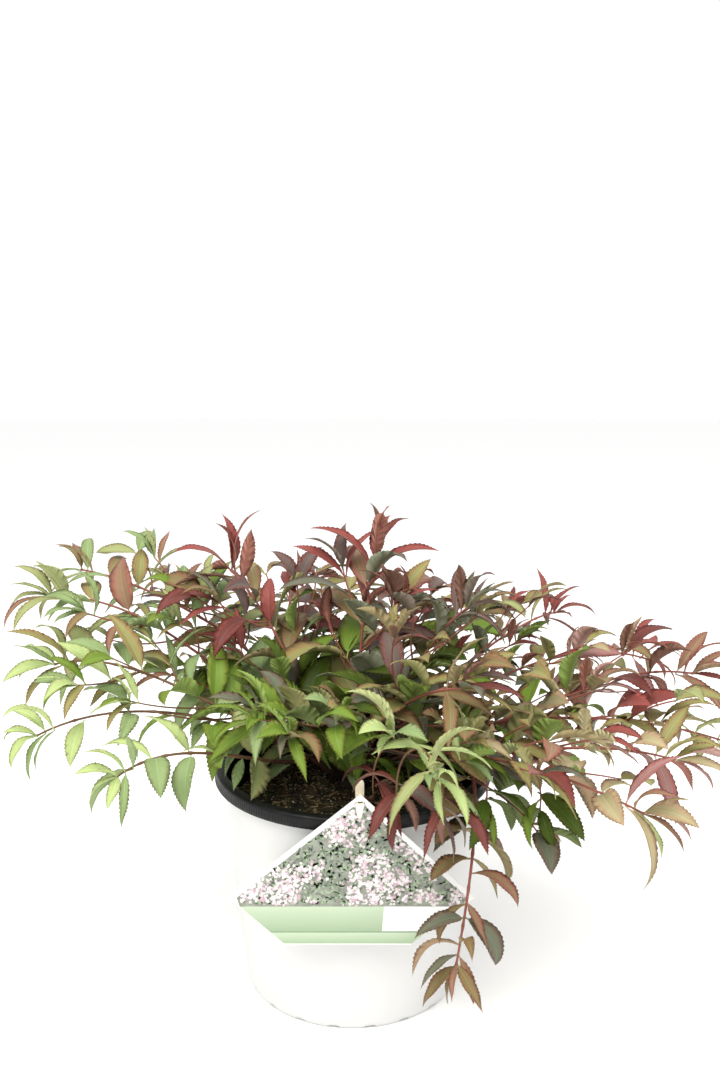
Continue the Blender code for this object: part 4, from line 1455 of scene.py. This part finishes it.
def leaf_vertices(leaf, rng):
    """A toothed, folded and arched leaf that keeps to its blank's foot, tip and face."""
    broad = rng.random() < (0.60 if leaf.share < 0.35 else 0.36 if leaf.share < 0.85 else 0.04)
    width = leaf.width * SLIM * (1.36 if broad else 1.0)
    bend = rng.uniform(0.6, 1.8)
    fold = math.tan(math.radians(rng.uniform(8, 28)))
    twist = math.radians(rng.uniform(-48, 48))
    sickle = rng.uniform(-0.07, 0.07) * leaf.length
    phase = rng.uniform(0, math.tau)

    row = np.arange(LEAF_ROWS)[:, None]
    side = RING_SIDE[None, :]
    layer = RING_LAYER[None, :]
    blade = np.clip((row - 1) / (LEAF_ROWS - 1), 0, 1)
    reach = np.abs(side)
    margin = reach == 1
    tooth = np.where(row % 2 == 0, 1.0, -1.0) * margin * (blade > 0) * (blade < 0.93)
    flat = leaf_outline(blade, broad) * width / 2 * reach
    flat = np.maximum(flat + tooth * np.minimum(TOOTH, flat * 0.15), 0)
    rib = np.where(row < 2, PETIOLE_HALF, MIDRIB_HALF * (1.3 - blade))
    flat = np.maximum(flat, rib * np.maximum(reach, 0.35)) * np.sign(side)

    slant = VEIN_SLANT * 4 * blade * (1 - blade) * reach + tooth * 0.22 / LEAF_ROWS
    along = np.where(row == 0, 0, PETIOLE + (1 - PETIOLE) * blade)
    along = np.minimum(along + slant * (1 - PETIOLE), 0.995)
    veins = np.cos(math.tau * VEINS * blade) * np.sin(math.pi * np.minimum(blade * 1.15, 1))
    rise = np.abs(flat) * fold * (1 - 0.35 * blade)
    rise = rise + WAVE * reach**2 * np.sin(math.tau * 2.3 * along + phase) * np.sin(math.pi * blade)
    rise = rise + QUILT * veins * (layer == 1)
    rise = rise - BLADE * (layer < 0) - KEEL * (1.25 - blade) * (layer == -2)
    rise = rise - 0.00012 * (reach == 0.001)

    t, angles, run, height = leaf_arc(bend)
    angle = np.interp(along, t, angles)
    turn = twist * along
    across = (-np.sin(angle) * np.sin(turn), np.cos(turn), np.cos(angle) * np.sin(turn))
    facing = (-np.sin(angle) * np.cos(turn), -np.sin(turn), np.cos(angle) * np.cos(turn))
    centre = (
        np.interp(along, t, run) * leaf.length,
        sickle * along * (1 - along) * 2,
        np.interp(along, t, height) * leaf.length,
    )
    own = np.stack([c + a * flat + f * rise for c, a, f in zip(centre, across, facing)], axis=-1)
    own = np.concatenate((own.reshape(-1, 3), [(leaf.length, 0.0, 0.0)]))
    frame_axes = np.array((leaf.along, leaf.up.cross(leaf.along), leaf.up))
    return own @ frame_axes + np.array(leaf.root)


def touches_pot(points):
    """True where a leaf stands in the pot's wall or the soil, or on both sides of the wall."""
    low = points[points[:, 2] < POT_HEIGHT + LEAF_CLEAR]
    radius = np.hypot(low[:, 0], low[:, 1])
    skirt = np.where(low[:, 2] > POT_HEIGHT - RIM_SKIRT, RIM_RADIUS, outer_radius(low[:, 2]))
    outside = radius > skirt + LEAF_CLEAR
    inside = (radius < liner_inner(low[:, 2]) - LEAF_CLEAR) & (low[:, 2] > SOIL_TOP + LEAF_CLEAR)
    return not (outside.all() or inside.all())


def clear_of_pot(points, root):
    """The leaf drawn in to its root by steps until it is clear of the pot, or None."""
    for _ in range(DRAWN_IN_STEPS):
        if not touches_pot(points):
            return points
        points = np.array(root) + (points - np.array(root)) * DRAWN_IN
    return None


def paler(colour, gain, lift):
    """A colour raised towards cream for a midrib or a lower face."""
    return tuple(lift * share + gain * value for value, share in zip(colour, (1.0, 0.95, 0.62)))


def leaf_material(name, colour, roughness):
    """One plain leaf colour with a fine satin grain in its gloss and relief."""
    made, tree, bsdf = base_material(name, colour, roughness, 0.13)
    value = grain(tree, 1300, 4.0)
    tree.links.new(ramp(tree, value, roughness - 0.08, roughness + 0.10), bsdf.inputs["Roughness"])
    add_bump(tree, bsdf, value, 0.00012, 0.6)
    return made


def deal_tone(rng, shoot, leaf):
    """The tone of a leaf: the shoot's inner tones near its foot, its outer ones near its tip."""
    kind = DEALT_APART.get(shoot.name, shoot.tone)
    deal = DEALS[kind]
    if leaf.share < 0:
        return rng.choice(HANGING_TONES[shoot.name])
    if leaf.share > 0.88 and kind in TIP_TONES:
        return rng.choice(TIP_TONES[kind])
    height = max(-0.3, min(0.3, (leaf.root.z - TURN_HEIGHT) * TURN_RATE)) if kind in UPRIGHT else 0.0
    outer = leaf.share + height + rng.uniform(-0.28, 0.28) > 0.36
    return rng.choice(deal.outer if outer else deal.inner)


def build_root_crown(soup):
    """The woody foot: a low knobbly knot that the stems fan out of."""
    rings, columns = 12, 28
    vertices = []
    for i in range(rings + 1):
        b = math.pi / 2 * i / rings
        for k in range(columns):
            a = math.tau * k / columns
            out = Vector((math.cos(a) * math.cos(b), math.sin(a) * math.cos(b), math.sin(b)))
            knob = 1 + 0.16 * noise.noise(out * 3.1) + 0.08 * noise.noise(out * 8.0) - 0.07
            flare = 1 + 0.12 * (1 - i / rings) ** 3
            girth = CROWN_RADIUS * KNOT * flare
            place = Vector((out.x * girth, out.y * girth, out.z * CROWN_HEIGHT * KNOT))
            vertices.append(CROWN + place * knob - Vector((0, 0, 0.0015)))
    faces = [tuple(range(columns - 1, -1, -1))]
    for i in range(rings):
        for k in range(columns):
            n = (k + 1) % columns
            low, high = i * columns, (i + 1) * columns
            faces.append((low + k, low + n, high + n, high + k))
    soup.add(vertices, faces)


def bark_material():
    """Streaked red-brown bark, with painted shade that darkens it to near black towards the soil under the crown.
    """
    made, tree, bsdf = base_material("old_bark", (0.10, 0.045, 0.028), 0.72, 0.3)
    streaks = grain(tree, 900, 4.0, (1.0, 1.0, 0.25))
    share = ramp(tree, streaks, 0.0, 1.0, 0.38, 0.66)
    bark = blend_colours(tree, share, (0.055, 0.025, 0.016), (0.150, 0.062, 0.038))
    # The near-black colour here is painted shade: the bark turns to it towards the soil, where the crown's shadow
    # falls.
    dark = shader_node(tree, "ShaderNodeMix", data_type="RGBA")
    dark.inputs[6].default_value = (0.022, 0.013, 0.009, 1.0)
    tree.links.new(bark, dark.inputs[7])
    tree.links.new(height_share(tree, SOIL_TOP + 0.004, SOIL_TOP + 0.032), dark.inputs["Factor"])
    tree.links.new(dark.outputs[2], bsdf.inputs["Base Color"])
    add_bump(tree, bsdf, streaks, 0.0004)
    return made


def build_limbs(limbs):
    """The woody foot, the main stems and their first branches, with the bark's relief."""
    bark = Soup()
    build_root_crown(bark)
    for shoot in SHOOTS:
        limb = limbs[shoot.name]
        cut_at = limb.route.length * LIMB_SHARE
        points = limb.route.part(0, cut_at, 40).points
        root = points[0] - (points[1] - points[0]).normalized() * 0.002
        if shoot.parent is None:
            root = CROWN + (points[0] - CROWN) * 0.25
        nodes = [cut_at * k / 3 for k in (1, 2)]
        seed = len(shoot.name)
        bark.add(*stem_tube([root, *points], limb.radius, LIMB_TIP_RADIUS, 12, nodes, 0.00022, seed))
    replaced = ["root_crown"] + [f"bough_{shoot.name}" for shoot in SHOOTS]
    bark.piece("bark_limbs", [bark_material()], "bark", replaced)


def standing_space(limbs):
    """The pot, label, foot and limbs as the leaves' rule sees them, and the stems of the masses."""
    space = Space()
    for name in ("pot_shell", "pot_liner_rim", "soil", "label_card", "label_peg"):
        space.add_node("pot", name)
    space.add_node("crown", "root_crown")
    outline = section("guide_section", 3)
    stems = {}
    for shoot in SHOOTS:
        route = limbs[shoot.name].route
        space.add_node(f"bough_{shoot.name}", f"bough_{shoot.name}")
        stem = stem_route(route, route.length * LIMB_SHARE)
        stems[shoot.name] = stem
        space.add(shoot.name, *guide_mesh(stem, outline))
    bpy.data.objects.remove(outline, do_unlink=True)
    return space, stems


def build_stems(limbs, growth):
    """The thin young stems and twigs, red on the coloured shoots and browner on the green ones."""
    young = {"red": Soup(), "brown": Soup()}
    for shoot, twigs in growth:
        soup = young["brown" if shoot.tone in ("lime", "green") else "red"]
        route = limbs[shoot.name].route
        start = route.length * LIMB_SHARE
        points = route.part(start, route.length, 70).points
        span = route.length - start - FIRST_NODE
        nodes = [FIRST_NODE + span * k / 6 for k in range(7)]
        soup.add(*stem_tube(points, LIMB_TIP_RADIUS, FINE_STEM_TIP, 8, nodes, 0.00006))
        for twig in twigs:
            soup.add(*stem_tube(rounded(twig, 0.0035), FINE_TWIG, FINE_TWIG_TIP, 6, (), 0.00004))
    young["red"].piece("young_stems_red", [leaf_material("stem_red", (0.235, 0.080, 0.060), 0.5)], "bark")
    brown = leaf_material("stem_brown", (0.14, 0.075, 0.042), 0.55)
    young["brown"].piece("young_stems_brown", [brown], "bark")


def build_foliage(foliage):
    """One joined piece for each tone of leaf."""
    for name, soup in foliage.items():
        tone = TONES[name]
        materials = [
            leaf_material(f"{name}_upper", tone.upper, 0.44),
            leaf_material(f"{name}_margin", tone.edge, 0.44),
            leaf_material(f"{name}_midrib", paler(tone.upper, 1.45, 0.045), 0.50),
            leaf_material(f"{name}_under", paler(tone.upper, 1.15, 0.065), 0.62),
        ]
        stood_for = [f"leaves_{shoot.name}" for shoot in SHOOTS if DEALS[shoot.tone].stands == name]
        soup.piece(f"foliage_{name}", materials, tone.slot, stood_for)


def from_foot_to_tip(table, shoot, leaf):
    """The table's factor for a leaf, by its share of the way along its shoot."""
    foot, tip = table.get(shoot.name, (1.0, 1.0))
    return foot + (tip - foot) * max(leaf.share, 0.0)


def build_plant():
    limbs = shoot_limbs()
    space, stems = standing_space(limbs)
    build_limbs(limbs)
    masses = []
    for seed, shoot in enumerate(SHOOTS):
        masses.append(grow_mass(shoot, seed, stems[shoot.name], space))
    foliage = {tone: Soup() for tone in TONES}
    growth = []
    faces, slots = leaf_topology()
    for seed, (shoot, (twigs, leaves)) in enumerate(zip(SHOOTS, masses)):
        route = limbs[shoot.name].route
        bough = route.part(0, route.length * LIMB_SHARE, 12)
        more = grow_finer(shoot, seed, stems[shoot.name], bough, twigs, space)
        growth.append((shoot, twigs + more[0]))
        rng = random.Random(500 + seed)
        for leaf in leaves + more[1]:
            size = from_foot_to_tip(LEAF_SIZES, shoot, leaf)
            width = leaf.width * size * from_foot_to_tip(LEAF_BREADTHS, shoot, leaf)
            leaf = leaf._replace(length=leaf.length * size, width=width)
            if shoot.name in LEVEL:
                leaf = levelled(leaf)
            tone = deal_tone(rng, shoot, leaf)
            points = clear_of_pot(leaf_vertices(leaf, rng), leaf.root)
            if points is not None:
                foliage[tone].add(points, faces, slots)
    build_stems(limbs, growth)
    build_foliage(foliage)


def build_stage():
    """A wide pale floor, a white room light, and two large soft lamps."""
    mesh = bpy.data.meshes.new("floor")
    shape = bmesh.new()
    bmesh.ops.create_circle(shape, cap_ends=True, segments=96, radius=9.0)
    shape.to_mesh(mesh)
    shape.free()
    floor = bpy.data.objects.new("floor", mesh)
    bpy.context.scene.collection.objects.link(floor)
    made, tree, bsdf = base_material("floor_pale", (0.93, 0.93, 0.925), 0.6, 0.2)
    mesh.materials.append(made)
    floor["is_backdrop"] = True
    world = bpy.data.worlds.new("studio")
    world.use_nodes = True
    back = world.node_tree.nodes["Background"]
    back.inputs["Color"].default_value = (1.0, 1.0, 1.0, 1.0)
    back.inputs["Strength"].default_value = 1.05
    bpy.context.scene.world = world
    lamps = (
        ("key", (-0.35, -0.75, 1.6), 1.3, 38.0, (1.0, 0.975, 0.935)),
        ("fill", (1.1, -0.5, 1.0), 0.9, 6.0, (1.0, 0.985, 0.960)),
    )
    for name, place, size, power, tint in lamps:
        data = bpy.data.lights.new(name, "AREA")
        data.size = size
        data.energy = power
        data.color = tint
        lamp = bpy.data.objects.new(name, data)
        lamp.location = place
        aim = Vector((0.0, 0.0, 0.18)) - lamp.location
        lamp.rotation_euler = aim.to_track_quat("-Z", "Y").to_euler()
        bpy.context.scene.collection.objects.link(lamp)
    bpy.context.scene.view_settings.view_transform = "Standard"
    bpy.context.scene.view_settings.look = "None"


def build_camera():
    """The photograph's view, 720 by 1080: solved from the pot's ellipses and a scale beside it."""
    data = bpy.data.cameras.new("camera")
    data.sensor_width = 36.0
    data.lens = 33.33
    data.clip_start = 0.01
    camera = bpy.data.objects.new("camera", data)
    camera.location = (0.0046, -0.609, 0.383)
    camera.rotation_euler = (math.radians(80.72), 0.0, 0.0)
    bpy.context.scene.collection.objects.link(camera)
    bpy.context.scene.camera = camera


build_camera()
build_stage()
build_shell()
build_liner()
build_soil()
build_label()
build_plant()

boxes = {"cad": CAD_BOX, "visual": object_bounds()}
{key: [list(corner) for corner in box] for key, box in boxes.items()}
